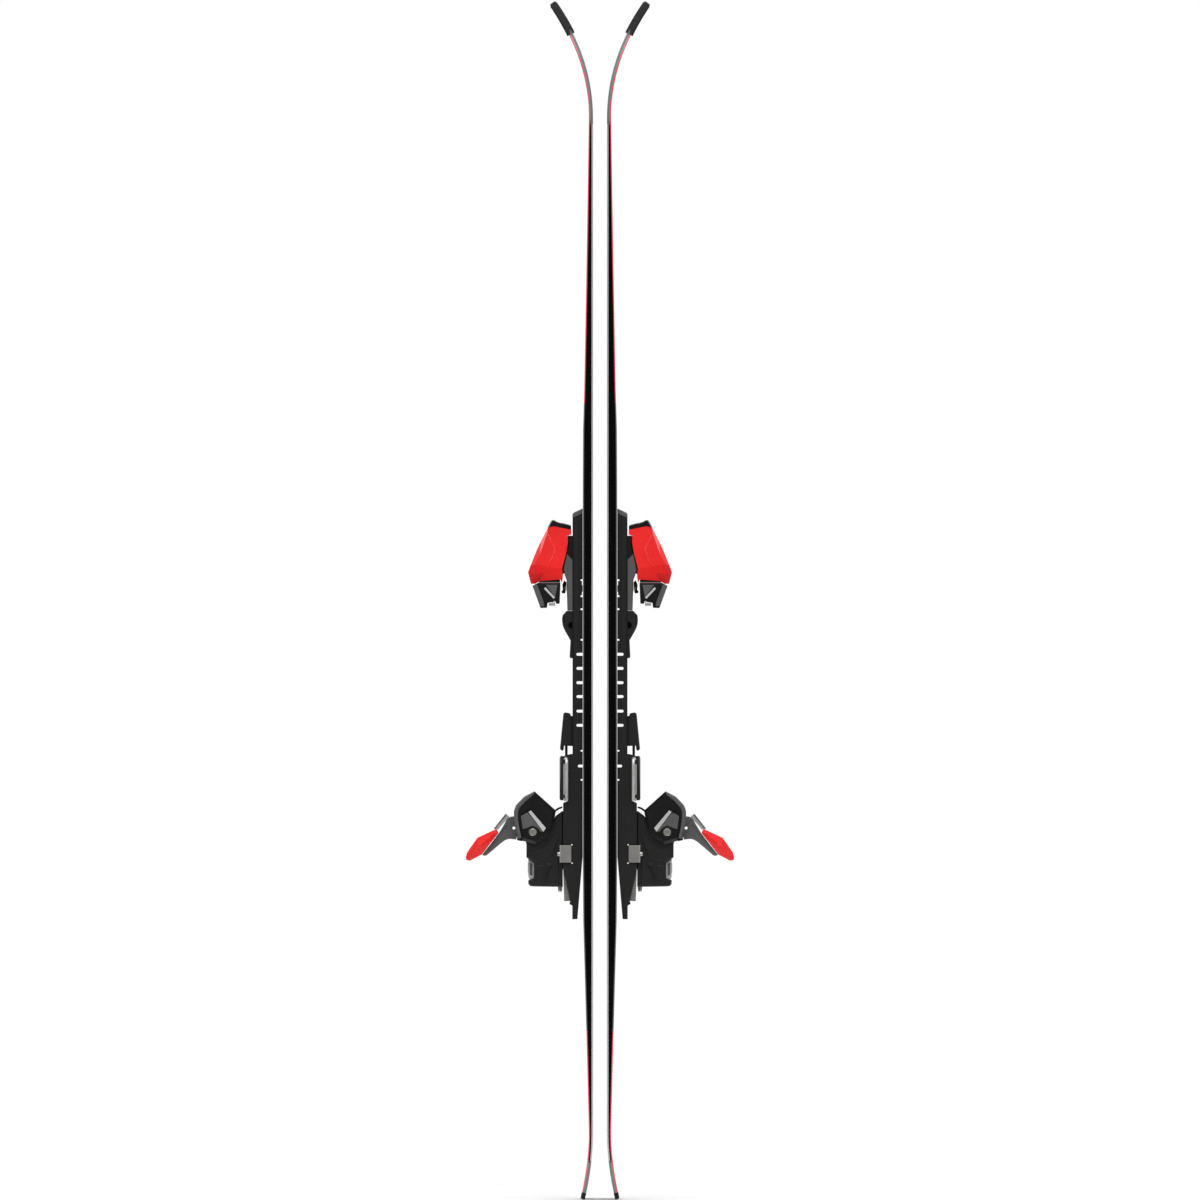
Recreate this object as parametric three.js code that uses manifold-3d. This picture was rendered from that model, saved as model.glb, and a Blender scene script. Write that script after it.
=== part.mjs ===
// A pair of alpine skis with bindings, standing on their tails with their bases facing.
// Millimetres, +Z up along the skis towards the tips, X across the gap between the bases, Y across each ski.
// The origin is on the floor, midway between the two skis.
//
// One ski is modelled in its own frame: X is the height above its base, Y the width and Z the distance from the
// tail end. Side outlines below are lists of [height, distance]. The finished ski is then placed twice.
import * as THREE from "three";
import { mergeVertices } from "three/addons/utils/BufferGeometryUtils.js";
import Module from "manifold-3d";

const wasm = await Module();
wasm.setup();

// ---------------------------------------------------------------- driving dimensions
const HALF_GAP = 9.6; // from the mid plane of the pair to each running surface
const GAP = 0.3; // between pieces that touch
const WIDE = 120; // longer than any width, for cutting tools

const SKI = {
  tailStart: 8.6, // the laminate starts above the tail guard
  tipEnd: 1636, // and ends inside the tip guard
  tailContact: 88,
  tipContact: 1486,
  tipRise: { length: 121, height: 28.9, power: 2.1 },
  tailRise: { length: 88, height: 11.4, power: 1.8 },
  waist: { at: 720, half: 34 },
  shovel: { at: 1500, half: 60, taper: 152 },
  tail: { at: 70, half: 51.5, taper: 120 },
  wallFrom: 53.3,
  wallTo: 1478.7,
  wallWidth: 4,
};
const LAYER = { edgeWidth: 2.2, edgeHeight: 1.9, topsheet: 1.2 };
// thickness of the whole laminate at distances from the tail end
const THICKNESS = [
  [0, 5.6], [95, 5.6], [190, 8], [300, 11], [385, 13.4], [471, 14],
  [976, 14], [1059, 13.6], [1115, 12], [1200, 10.4], [1285, 8.9],
  [1375, 7.4], [1470, 5.9], [1500, 5.4], [1660, 5.2],
];
const GUARD = { tipFrom: 1606, tipTo: 1648.6, wall: 2.8, tailTo: 8.3 };

const PLATE = { half: 31, bottom: 14.3, top: 28.2, slotDepth: 9.4, slotHeight: 4 };
const SLOTS_AT = [596, 652.1, 671.6, 691.7, 710.8, 730.5, 749.9];
const NOTCHES_AT = [577, 617, 769.8, 812, 830, 852];
const NOTCH = { depth: 4, height: 2.4 };

const TOE = { half: 35, baseHalf: 33, capHalf: 22, screwHeight: 51, bore: 7.6, capBore: 5.6 };
const TOE_SCREW = { head: 5, shaft: 2.6, from: 853, seat: 924.8, to: 929.4 };
const TOE_SPRING = { radius: 5.6, wire: 1.1, from: 862, to: 914, turns: 7 };
const JAW = { low: 44.8, high: 83.7 };
const REST = { half: 30, padHalf: 27 };

const AXLE = { height: 82.9, at: 505.2, radius: 4.8, bore: 5.4, half: 37, head: 7, seat: 36.4, top: 38 };
const HEEL = { half: 27, cupHalf: 36, screwHeight: 62, bore: 8.2, screwBore: 7.2 };
const HEEL_SCREW = { head: 6.4, shaft: 3, from: 430.4, seat: 434.4, to: 488 };
const HEEL_SPRING = { radius: 6.2, wire: 1.2, from: 438, to: 484, turns: 6 };
const LOCK_SCREW = { radius: 2.8, height: 45.4, across: 12, from: 423, to: 431 };
const LEVER = { half: 20, padHalf: 24, plateHalf: 16 };
const LEVER_HOLE = { radius: 2.5, height: 109.2, at: 509.7 };
const RAIL = { half: 22, top: 41.2, bottom: 36.5 };
const BLOCK = { half: 35, inner: 31.5, low: 29.9, high: 45.3, from: 463.5, to: 486.9 };
const BLOCK_SCREW = { radius: 3.4, top: 49.6, across: 31.4, at: 475 };
const BRAKE = { height: 36.8, at: 606, wire: 2.9, armAt: 39, armEnd: 550, pedalHalf: 26 };
const BLADE = { inner: 36.5, outer: 43 };
const STRUT = { half: 18, low: 34.6, high: 38.8, to: 626, hub: 4.8 };

// ---------------------------------------------------------------- materials
const material = (color, roughness, metalness) =>
  new THREE.MeshStandardMaterial({ color, roughness, metalness });
const MATERIALS = {
  laminate: material(0x6f7a75, 0.6, 0),
  runningBase: material(0x111113, 0.5, 0),
  edgeSteel: material(0xa5a5a8, 0.3, 1),
  sidewall: material(0x0a0a0b, 0.45, 0),
  topsheet: material(0x16161a, 0.3, 0),
  black: material(0x1b1b1c, 0.55, 0),
  grey: material(0x5c5c5e, 0.5, 0),
  red: material(0xe3181d, 0.3, 0),
  steel: material(0xb4b0aa, 0.35, 1),
};

// ---------------------------------------------------------------- solids
// A closed geometry as a solid that can be joined and cut.
function solidOf(geometry) {
  const bare = geometry.clone();
  Object.keys(bare.attributes)
    .filter((name) => name !== "position")
    .forEach((name) => bare.deleteAttribute(name));
  const merged = mergeVertices(bare, 1e-4);
  return new wasm.Manifold(
    new wasm.Mesh({
      numProp: 3,
      vertProperties: merged.attributes.position.array,
      triVerts: new Uint32Array(merged.index.array),
    }),
  );
}

function geometryOf(solid) {
  const mesh = solid.getMesh();
  const geometry = new THREE.BufferGeometry();
  geometry.setAttribute("position", new THREE.BufferAttribute(mesh.vertProperties, 3));
  geometry.setIndex(new THREE.BufferAttribute(mesh.triVerts, 1));
  geometry.computeVertexNormals();
  return geometry;
}

const join = (first, ...others) => others.reduce((all, one) => all.add(one), first);
const cut = (first, ...others) => others.reduce((all, one) => all.subtract(one), first);
const common = (first, ...others) => others.reduce((all, one) => all.intersect(one), first);

function extrude(outline, depth) {
  const shape = new THREE.Shape(outline.map(([x, y]) => new THREE.Vector2(x, y)));
  return new THREE.ExtrudeGeometry(shape, { depth, bevelEnabled: false });
}

// A side outline of [height, distance] points, carried across from y = low to y = high.
function sidePrism(outline, low, high) {
  return solidOf(
    extrude(outline, high - low)
      .rotateX(Math.PI / 2)
      .translate(0, high, 0),
  );
}

// A top outline of [width, distance] points, carried up from height low to high.
function topPrism(outline, low, high) {
  const turn = new THREE.Matrix4().makeBasis(
    new THREE.Vector3(0, 1, 0),
    new THREE.Vector3(0, 0, 1),
    new THREE.Vector3(1, 0, 0),
  );
  return solidOf(extrude(outline, high - low).applyMatrix4(turn).translate(low, 0, 0));
}

// An end outline of [height, width] points, carried along the ski.
const endPrism = (outline, low, high) => solidOf(extrude(outline, high - low).translate(0, 0, low));

function box(heights, widths, distances) {
  const ranges = [heights, widths, distances];
  const sizes = ranges.map(([low, high]) => high - low);
  const middles = ranges.map(([low, high]) => (low + high) / 2);
  return solidOf(new THREE.BoxGeometry(...sizes).translate(...middles));
}

// A round rod along "x", "y" or "z", from low to high on that axis, through the two other coordinates.
function rod(axis, radius, low, high, through, sides = 16) {
  const round = new THREE.CylinderGeometry(radius, radius, high - low, sides);
  const middle = (low + high) / 2;
  if (axis === "x") round.rotateZ(Math.PI / 2).translate(middle, ...through);
  if (axis === "y") round.translate(through[0], middle, through[1]);
  if (axis === "z") round.rotateX(Math.PI / 2).translate(...through, middle);
  return solidOf(round);
}

const mirrored = (outline) => [...outline, ...outline.map(([a, b]) => [a, -b]).reverse()];

// ---------------------------------------------------------------- the ski's curve and widths
// Height of the running surface, and its slope, at a distance from the tail end.
function baseCurve(at) {
  const rise = (past, { length, height, power }) => ({
    height: height * (past / length) ** power,
    slope: ((height * power) / length) * (past / length) ** (power - 1),
  });
  if (at > SKI.tipContact) return rise(at - SKI.tipContact, SKI.tipRise);
  if (at < SKI.tailContact) {
    const { height, slope } = rise(SKI.tailContact - at, SKI.tailRise);
    return { height, slope: -slope };
  }
  return { height: 0, slope: 0 };
}

function halfWidth(at) {
  const { waist, shovel, tail } = SKI;
  const end = at > waist.at ? shovel : tail;
  const share = (at - waist.at) / (end.at - waist.at);
  if (share <= 1) return waist.half + (end.half - waist.half) * share ** 2;
  return end.half * Math.sqrt(1 - Math.min(0.97, ((at - end.at) / end.taper) ** 2));
}

function thickness(at) {
  const next = Math.max(1, THICKNESS.findIndex(([from]) => from >= at));
  const [[a, ta], [b, tb]] = [THICKNESS[next - 1], THICKNESS[next]];
  return ta + ((tb - ta) * (at - a)) / (b - a);
}

// Distances at which a layer has a cross-section, closer together where the ski curves.
function stationsBetween(from, to) {
  const steps = [from, to];
  for (let at = 18; at < SKI.tailContact; at += 18) steps.push(at);
  for (let at = SKI.tailContact; at < SKI.tipContact; at += 1398 / 12) steps.push(at);
  for (let at = SKI.tipContact; at < 1660; at += 15) steps.push(at);
  return [...new Set(steps)].filter((at) => at >= from && at <= to).sort((a, b) => a - b);
}

// A curved layer of the ski: each cross-section is a rectangle square to the base curve, from low to high above
// it and from inner to outer across it. All four are functions of the distance.
function layer({ from, to, low, high, inner, outer, extra = [] }) {
  const stations = [...stationsBetween(from, to), ...extra].sort((a, b) => a - b);
  const corners = [];
  for (const at of stations) {
    const { height, slope } = baseCurve(at);
    const length = Math.hypot(1, slope);
    for (const [lift, across] of [
      [low(at), inner(at)],
      [high(at), inner(at)],
      [high(at), outer(at)],
      [low(at), outer(at)],
    ])
      corners.push(height + lift / length, across, at - (lift * slope) / length);
  }
  const faces = [0, 2, 1, 0, 3, 2];
  const last = 4 * (stations.length - 1);
  faces.push(last, last + 1, last + 2, last, last + 2, last + 3);
  for (let start = 0; start < last; start += 4)
    for (let side = 0; side < 4; side++) {
      const [a, b] = [start + side, start + ((side + 1) % 4)];
      faces.push(a, b, b + 4, a, b + 4, a + 4);
    }
  const geometry = new THREE.BufferGeometry();
  geometry.setAttribute("position", new THREE.Float32BufferAttribute(corners, 3));
  geometry.setIndex(faces);
  const made = solidOf(geometry);
  return made.volume() > 0 ? made : solidOf(flipped(geometry));
}

function flipped(geometry) {
  const turned = geometry.clone();
  const index = turned.index.array;
  for (let i = 0; i < index.length; i += 3) [index[i], index[i + 1]] = [index[i + 1], index[i]];
  return turned;
}

// A layer as wide as the ski less an inset on each side.
function fullLayer(from, to, low, high, inset = () => 0, extra = []) {
  const outer = (at) => halfWidth(at) - inset(at);
  return layer({ from, to, low, high, inner: (at) => -outer(at), outer, extra });
}

// ---------------------------------------------------------------- the ski's own pieces
const constant = (value) => () => value;
const underTopsheet = (at) => thickness(at) - LAYER.topsheet - GAP;

function core() {
  const { wallFrom, wallTo, wallWidth } = SKI;
  const step = 0.2;
  const inset = (at) => (at > wallFrom - step && at < wallTo + step ? wallWidth + GAP : 0);
  const low = constant(LAYER.edgeHeight + GAP);
  const extra = [wallFrom - 2 * step, wallFrom, wallTo, wallTo + 2 * step];
  return fullLayer(SKI.tailStart, SKI.tipEnd, low, underTopsheet, inset, extra);
}

const edgeInset = constant(LAYER.edgeWidth);

function steelEdge() {
  const rim = fullLayer(SKI.tailStart, SKI.tipEnd, constant(0), constant(LAYER.edgeHeight));
  const start = SKI.tailStart + LAYER.edgeWidth;
  const end = SKI.tipEnd - LAYER.edgeWidth;
  return cut(rim, fullLayer(start, end, constant(-1), constant(3), edgeInset));
}

function runningBase() {
  const start = SKI.tailStart + LAYER.edgeWidth + GAP;
  const end = SKI.tipEnd - LAYER.edgeWidth - GAP;
  const inset = constant(LAYER.edgeWidth + GAP);
  return fullLayer(start, end, constant(0), constant(LAYER.edgeHeight), inset);
}

function sidewall(side) {
  return layer({
    from: SKI.wallFrom + GAP,
    to: SKI.wallTo - GAP,
    low: constant(LAYER.edgeHeight + GAP),
    high: underTopsheet,
    inner: (at) => side * (halfWidth(at) - SKI.wallWidth),
    outer: (at) => side * halfWidth(at),
  });
}

function topsheet() {
  const low = (at) => thickness(at) - LAYER.topsheet;
  return fullLayer(SKI.tailStart, SKI.tipEnd, low, thickness);
}

function tipGuard() {
  const { tipFrom, tipTo, wall } = GUARD;
  const body = fullLayer(tipFrom, tipTo, constant(-wall), (at) => thickness(at) + wall, constant(-wall));
  const pocketTop = (at) => thickness(at) + GAP;
  const pocket = fullLayer(tipFrom - 8, SKI.tipEnd + GAP, constant(-GAP), pocketTop, constant(-GAP));
  return cut(body, pocket);
}

// The pair stands on the flat ends of the tail guards.
function tailGuard() {
  const body = fullLayer(-3, GUARD.tailTo, constant(-GAP), (at) => thickness(at) + GAP);
  return cut(body, box([-WIDE, WIDE], [-WIDE, WIDE], [-WIDE, 0]));
}

// ---------------------------------------------------------------- the binding plate
function slot(at, depth, height) {
  const [start, end] = [PLATE.bottom - 2, PLATE.bottom + depth];
  const half = height / 2;
  const outline = [
    [start, at - half], [end - half, at - half], [end, at - half / 2],
    [end, at + half / 2], [end - half, at + half], [start, at + half],
  ];
  return sidePrism(outline, -WIDE, WIDE);
}

function plate() {
  const outline = [
    [PLATE.bottom, 943.7], [PLATE.top, 937.3], [PLATE.top, 613], [33, 612], [41, 609], [41, 601],
    [36, 590], [34.4, 585], [34.4, 548], [RAIL.top, 545], [RAIL.top, 454], [31.3, 410],
    [32.6, 406.4], [28.5, 404], [28.5, 385.4], [21.5, 385.4], [PLATE.bottom, 471.2],
  ];
  const channel = [[31.1, 400], [50, 400], [50, 540.6], [36.2, 540.6], [36.2, 437], [31.1, 410]];
  const brakeBay = box([PLATE.top, 60], [-25, 25], [586, 640]);
  return cut(
    sidePrism(outline, -PLATE.half, PLATE.half),
    sidePrism(channel, -RAIL.half - GAP, RAIL.half + GAP),
    brakeBay,
    rod("y", BRAKE.wire + 0.6, -WIDE, WIDE, [BRAKE.height, BRAKE.at]),
    ...SLOTS_AT.map((at) => slot(at, PLATE.slotDepth, PLATE.slotHeight)),
    ...NOTCHES_AT.map((at) => slot(at, NOTCH.depth, NOTCH.height)),
  );
}

function plateNose() {
  const outline = [[PLATE.bottom, 950.8], [27, 944.9], [28.4, 943.4], [28.4, 937.6], [PLATE.bottom, 944.1]];
  return sidePrism(outline, -PLATE.half, PLATE.half);
}

// ---------------------------------------------------------------- the toe piece
function toeBase() {
  const outline = [
    [28.5, 913], [34.4, 913.6], [33.4, 901.3], [35.8, 888.4], [41.5, 866.3],
    [36.4, 852.3], [35.3, 810.1], [28.5, 810.1],
  ];
  const post = box([35, 42.2], [-9, 9], [834, 845]);
  return join(sidePrism(outline, -TOE.baseHalf, TOE.baseHalf), post);
}

function toeHousing() {
  const side = [
    [61.2, 924.2], [30.4, 921.6], [30.4, 914.9], [35.1, 914.4], [34.1, 902.4], [36.8, 888.8],
    [42.9, 866.8], [41.4, 857.1], [42.8, 848.2], [45, 852.8], [73.3, 850.8], [79.5, 847],
    [85.4, 847], [89.5, 862.9], [85.8, 872.9], [77.4, 892.9], [71.6, 905.6],
  ];
  const top = [
    [-24, 926], [24, 926], [31, 905], [TOE.half, 870], [TOE.half, 845],
    [-TOE.half, 845], [-TOE.half, 870], [-31, 905],
  ];
  const end = mirrored([[30, 27], [46, TOE.half], [62, TOE.half], [80, 24], [90, 14]]);
  return cut(
    common(sidePrism(side, -WIDE, WIDE), topPrism(top, 0, WIDE), endPrism(end, 800, 1000)),
    rod("z", TOE.bore, 840, 940, [TOE.screwHeight, 0]),
  );
}

function toeNoseCap() {
  const outline = [
    [61.4, 925], [59.5, 928.7], [56.3, 933.9], [53.7, 934.9], [45.9, 931.3],
    [37.3, 930.3], [30.6, 928.1], [30.4, 922],
  ];
  return cut(
    sidePrism(outline, -TOE.capHalf, TOE.capHalf),
    rod("z", TOE.capBore, 900, 950, [TOE.screwHeight, 0]),
  );
}

// One wing of the toe clamp. side is +1 or -1, the way it faces across the ski.
function toeJaw(side) {
  const wing = [
    [3, 838], [3, 848.5], [34, 848.5], [43, 845], [43.5, 830], [42, 813.5],
    [36, 813.5], [33, 822], [20, 836],
  ].map(([across, at]) => [side * across, at]);
  const profile = [
    [JAW.high, 844.4], [74.5, 848.5], [JAW.low, 849.1], [46, 819.7], [50.5, 819.3],
    [52.3, 823.4], [62.7, 820.6], [63.4, 813.9], [72.2, 813.3],
  ];
  return common(topPrism(wing, 0, WIDE), sidePrism(profile, -WIDE, WIDE));
}

function toeRest() {
  const outline = [
    [28.5, 744.5], [32, 746], [31.1, 769.1], [38.6, 782.3], [38.8, 806], [35.7, 809.7], [28.5, 809.7],
  ];
  return sidePrism(outline, -REST.half, REST.half);
}

function glidePad() {
  const outline = [[39.1, 783.5], [40.9, 786.2], [42.4, 795.2], [42.4, 803.4], [39.1, 806.3]];
  return sidePrism(outline, -REST.padHalf, REST.padHalf);
}

const toeScrew = () =>
  join(
    rod("z", TOE_SCREW.head, TOE_SCREW.seat, TOE_SCREW.to, [TOE.screwHeight, 0]),
    rod("z", TOE_SCREW.shaft, TOE_SCREW.from, TOE_SCREW.seat + GAP, [TOE.screwHeight, 0]),
  );

// ---------------------------------------------------------------- springs
class Helix extends THREE.Curve {
  constructor(dimensions, height) {
    super();
    Object.assign(this, dimensions, { height });
  }

  getPoint(share, target = new THREE.Vector3()) {
    const angle = 2 * Math.PI * this.turns * share;
    return target.set(
      this.height + this.radius * Math.cos(angle),
      this.radius * Math.sin(angle),
      this.from + (this.to - this.from) * share,
    );
  }
}

function spring(dimensions, height) {
  const { wire, turns } = dimensions;
  const sides = 5;
  const section = Array.from({ length: sides }, (_, i) => {
    const angle = (2 * Math.PI * i) / sides;
    return new THREE.Vector2(wire * Math.cos(angle), wire * Math.sin(angle));
  });
  return solidOf(
    new THREE.ExtrudeGeometry(new THREE.Shape(section), {
      extrudePath: new Helix(dimensions, height),
      steps: turns * 9,
      bevelEnabled: false,
    }),
  );
}

// ---------------------------------------------------------------- the heel piece
const axleBore = () => rod("y", AXLE.bore, -WIDE, WIDE, [AXLE.height, AXLE.at]);

function heelRail() {
  const outline = [
    [31.5, 410.3], [39.7, 410], [RAIL.top, 454], [RAIL.top, 540], [RAIL.bottom, 540], [RAIL.bottom, 436],
  ];
  return sidePrism(outline, -RAIL.half, RAIL.half);
}

// A saddle that rides over the rail and holds the heel piece down on both sides, with a screw on each leg.
function heelBlock() {
  const { half, inner, low, high, from, to } = BLOCK;
  const { radius, top, across, at } = BLOCK_SCREW;
  const screws = [-1, 1].map((side) => rod("x", radius, high - 1, top, [side * across, at]));
  return join(
    cut(box([low, high], [-half, half], [from, to]), box([0, 41.6], [-inner, inner], [from - 5, to + 5])),
    ...screws,
  );
}

function heelBody() {
  const outline = [
    [41.7, 429.7], [84.7, 430.4], [88.8, 431.8], [89.5, 438.8], [81.4, 441.6], [81.4, 462.7],
    [91.7, 470.5], [91.7, 488], [93.5, 497], [95.9, 505.2], [92.1, 514.4], [82.9, 518.2],
    [70, 521], [62, 519], [58, 512], [47, 518], [46, 529], [41.7, 528],
  ];
  const saddleRoom = box([40, BLOCK.high + GAP], [-WIDE, WIDE], [BLOCK.from - GAP, BLOCK.to + GAP]);
  const lock = LOCK_SCREW;
  const lockScrew = rod("z", lock.radius, lock.from, lock.to, [lock.height, lock.across]);
  return cut(
    join(sidePrism(outline, -HEEL.half, HEEL.half), lockScrew),
    saddleRoom,
    axleBore(),
    rod("z", HEEL.screwBore, 400, 436, [HEEL.screwHeight, 0]),
    rod("z", HEEL.bore, 434, 490, [HEEL.screwHeight, 0]),
  );
}

function heelCup() {
  const outer = [
    [80.4, 560.8], [51, 534.4], [55.1, 511.9], [63.6, 497.9], [78.4, 487.9], [93.1, 492.2],
    [98.8, 493.6], [108.5, 523.1], [108.5, 534.4], [105.8, 541.4], [94.5, 553.4],
  ];
  const room = [
    [57, 527.7], [84, 552], [96, 541], [100, 534], [100, 527], [120, 527], [120, 470], [40, 470], [40, 520],
  ];
  const inside = HEEL.half + 0.9;
  return cut(
    sidePrism(outer, -HEEL.cupHalf, HEEL.cupHalf),
    sidePrism(room, -inside, inside),
    axleBore(),
  );
}

function heelAxle() {
  const through = [AXLE.height, AXLE.at];
  return join(
    rod("y", AXLE.radius, -AXLE.half, AXLE.half, through),
    rod("y", AXLE.head, AXLE.seat, AXLE.top, through),
    rod("y", AXLE.head, -AXLE.top, -AXLE.seat, through),
  );
}

const heelScrew = () =>
  join(
    rod("z", HEEL_SCREW.head, HEEL_SCREW.from, HEEL_SCREW.seat, [HEEL.screwHeight, 0]),
    rod("z", HEEL_SCREW.shaft, HEEL_SCREW.seat - GAP, HEEL_SCREW.to, [HEEL.screwHeight, 0]),
  );

function heelLever() {
  const arm = [
    [104, 500.5], [102.5, 520], [108.5, 526], [113.5, 524.5], [129.6, 503.4], [152, 473.9],
    [146.5, 472.6], [119.8, 493.6], [111.4, 495.7],
  ];
  const stiffener = [[121.2, 530.1], [118.5, 528], [112, 524.4], [126, 505], [129.2, 505.4], [133.4, 510.2]];
  return cut(
    join(
      sidePrism(arm, -LEVER.half, LEVER.half),
      sidePrism(stiffener, -LEVER.plateHalf, LEVER.plateHalf),
    ),
    rod("y", LEVER_HOLE.radius, -WIDE, WIDE, [LEVER_HOLE.height, LEVER_HOLE.at], 12),
  );
}

function leverPad() {
  const outline = [
    [134.6, 509.2], [130.2, 504.3], [152.4, 475], [169, 465.5], [175.3, 467.6], [175.3, 471.2], [159.9, 495],
  ];
  const top = mirrored([[460, 17], [480, LEVER.padHalf], [515, LEVER.padHalf]]);
  return common(
    sidePrism(outline, -WIDE, WIDE),
    topPrism(top.map(([at, across]) => [across, at]), 0, 200),
  );
}

// ---------------------------------------------------------------- the brake
// One bent steel wire: an axle across the plate, and an arm along each side that ends in a moulded blade.
function brakeArms() {
  const { height, at, wire, armAt, armEnd } = BRAKE;
  const blade = [[40.2, 610], [46, 608], [46, 556], [44, 548], [35, 546], [35, 552], [40.2, 556]];
  const arms = [-1, 1].flatMap((side) => [
    rod("z", wire, armEnd, at, [height, side * armAt], 8),
    solidOf(new THREE.SphereGeometry(wire, 8, 6).translate(height, side * armAt, at)),
    sidePrism(blade, ...[side * BLADE.inner, side * BLADE.outer].sort((a, b) => a - b)),
  ]);
  return join(rod("y", wire, -armAt, armAt, [height, at], 8), ...arms);
}

function brakePedal() {
  const outline = [
    [28.6, 664.7], [30.6, 665.2], [31.8, 668.7], [38.6, 669.9], [40.9, 668.1], [44.9, 626.5],
    [45.5, 619.6], [42.7, 616.7], [40.4, 618.5], [39.8, 624.2], [28.9, 623.6],
  ];
  const strut = box([STRUT.low, STRUT.high], [-STRUT.half, STRUT.half], [BRAKE.at, STRUT.to]);
  const hub = rod("y", STRUT.hub, -STRUT.half, STRUT.half, [BRAKE.height, BRAKE.at]);
  return cut(
    join(sidePrism(outline, -BRAKE.pedalHalf, BRAKE.pedalHalf), strut, hub),
    rod("y", BRAKE.wire + 0.5, -WIDE, WIDE, [BRAKE.height, BRAKE.at]),
  );
}

// ---------------------------------------------------------------- assembly
const PIECES = {
  core: [core(), "laminate"],
  base: [runningBase(), "runningBase"],
  steel_edge: [steelEdge(), "edgeSteel"],
  sidewall_a: [sidewall(1), "sidewall"],
  sidewall_b: [sidewall(-1), "sidewall"],
  topsheet: [topsheet(), "topsheet"],
  tip_guard: [tipGuard(), "black"],
  tail_guard: [tailGuard(), "black"],
  plate: [plate(), "black"],
  plate_nose: [plateNose(), "grey"],
  toe_base: [toeBase(), "grey"],
  toe_housing: [toeHousing(), "red"],
  toe_nose_cap: [toeNoseCap(), "black"],
  toe_jaw_a: [toeJaw(1), "grey"],
  toe_jaw_b: [toeJaw(-1), "grey"],
  toe_spring: [spring(TOE_SPRING, TOE.screwHeight), "steel"],
  toe_screw: [toeScrew(), "steel"],
  toe_rest: [toeRest(), "black"],
  glide_pad: [glidePad(), "black"],
  heel_rail: [heelRail(), "steel"],
  heel_block: [heelBlock(), "steel"],
  heel_body: [heelBody(), "black"],
  heel_cup: [heelCup(), "black"],
  heel_lever: [heelLever(), "grey"],
  lever_pad: [leverPad(), "red"],
  heel_axle: [heelAxle(), "steel"],
  heel_spring: [spring(HEEL_SPRING, HEEL.screwHeight), "steel"],
  heel_screw: [heelScrew(), "steel"],
  brake_arms: [brakeArms(), "steel"],
  brake_pedal: [brakePedal(), "black"],
};

function ski(side) {
  const group = new THREE.Group();
  for (const [name, [solid, finish]] of Object.entries(PIECES)) {
    const mesh = new THREE.Mesh(geometryOf(solid), MATERIALS[finish]);
    mesh.name = `${side}_${name}`;
    group.add(mesh);
  }
  return group;
}

const right = ski("right");
right.position.x = HALF_GAP;

const left = ski("left");
left.position.x = -HALF_GAP;
left.rotation.z = Math.PI;

const pair = new THREE.Group();
pair.add(left, right);

export default pair;
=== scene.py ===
import math

import bmesh
import bpy
from mathutils import Matrix, Vector


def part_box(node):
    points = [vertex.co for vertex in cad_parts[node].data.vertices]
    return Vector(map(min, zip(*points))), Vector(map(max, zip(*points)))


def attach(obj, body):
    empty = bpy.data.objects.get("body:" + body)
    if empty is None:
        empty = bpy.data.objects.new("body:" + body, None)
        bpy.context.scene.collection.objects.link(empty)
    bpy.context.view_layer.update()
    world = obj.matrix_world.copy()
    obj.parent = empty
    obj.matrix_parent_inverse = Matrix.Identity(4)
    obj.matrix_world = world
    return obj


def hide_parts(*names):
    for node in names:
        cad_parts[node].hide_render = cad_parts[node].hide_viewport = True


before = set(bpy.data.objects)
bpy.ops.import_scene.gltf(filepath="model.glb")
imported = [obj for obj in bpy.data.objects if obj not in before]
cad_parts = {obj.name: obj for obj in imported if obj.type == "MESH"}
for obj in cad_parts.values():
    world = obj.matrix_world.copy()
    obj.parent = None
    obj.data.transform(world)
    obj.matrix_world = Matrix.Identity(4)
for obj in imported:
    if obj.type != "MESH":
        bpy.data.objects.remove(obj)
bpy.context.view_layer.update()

# One ski is built in its own frame and used twice: x is the height above its running surface, y the width and
# z the distance from its tail end. Numbers in outlines are millimetres, [height, distance].
MM = 0.001
HALF_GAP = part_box("right_base")[0].x / MM
RIGHT = Matrix.Translation((HALF_GAP * MM, 0, 0))
LEFT = Matrix.Translation((-HALF_GAP * MM, 0, 0)) @ Matrix.Rotation(math.pi, 4, "Z")
PLACES = {"left": LEFT, "right": RIGHT}


def cad(node):
    """The low and high corners of a node of the right ski, in the ski's own frame, in millimetres."""
    low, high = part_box("right_" + node)
    shift = Vector((HALF_GAP, 0, 0))
    return low / MM - shift, high / MM - shift


# -------- the ski's sizes
TIP_END, TAIL_START = 1636, 8.6
TIP_RISE = {"from": 1486, "length": 121, "height": 28.9, "power": 2.1}
TAIL_RISE = {"from": 88, "length": 88, "height": 11.4, "power": 1.8}
# Distance and half width, and for the ends the length of their rounding.
WAIST, SHOVEL, TAIL = (720, 34), (1500, 59.998, 152), (70, 51.5, 120)
# Distance and thickness of the whole laminate.
THICKNESS = [
    (0, 5.6), (95, 5.6), (190, 8), (300, 11), (385, 13.4), (471, 14), (976, 14), (1059, 13.6), (1115, 12),
    (1200, 10.4), (1285, 8.9), (1375, 7.4), (1470, 5.9), (1500, 5.4), (1660, 5.2),
]
WALL_FROM, WALL_TO, WALL_WIDTH = 53.3, 1478.7, 4
EDGE_WIDTH, EDGE_HEIGHT, SHEET, CLEAR = 2.2, 1.9, 1.2, 0.3
HAIR = 0.02  # how far the steel edge stays inside its CAD outline
BASE_FIT, BASE_SHORT = 0.1, 2  # gap from running base to steel edge, and from its ends to those of the laminate
# The border line of the topsheet, red to pink at both ends and a grey painted highlight between them: its width,
# the band in which it ends, and its two red stretches of the ski.
LINE_WIDTH, LINE_BAND = 2.4, 0.2
FRONT_LINE_FROM, REAR_LINE_TO = 1096, 232


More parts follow.
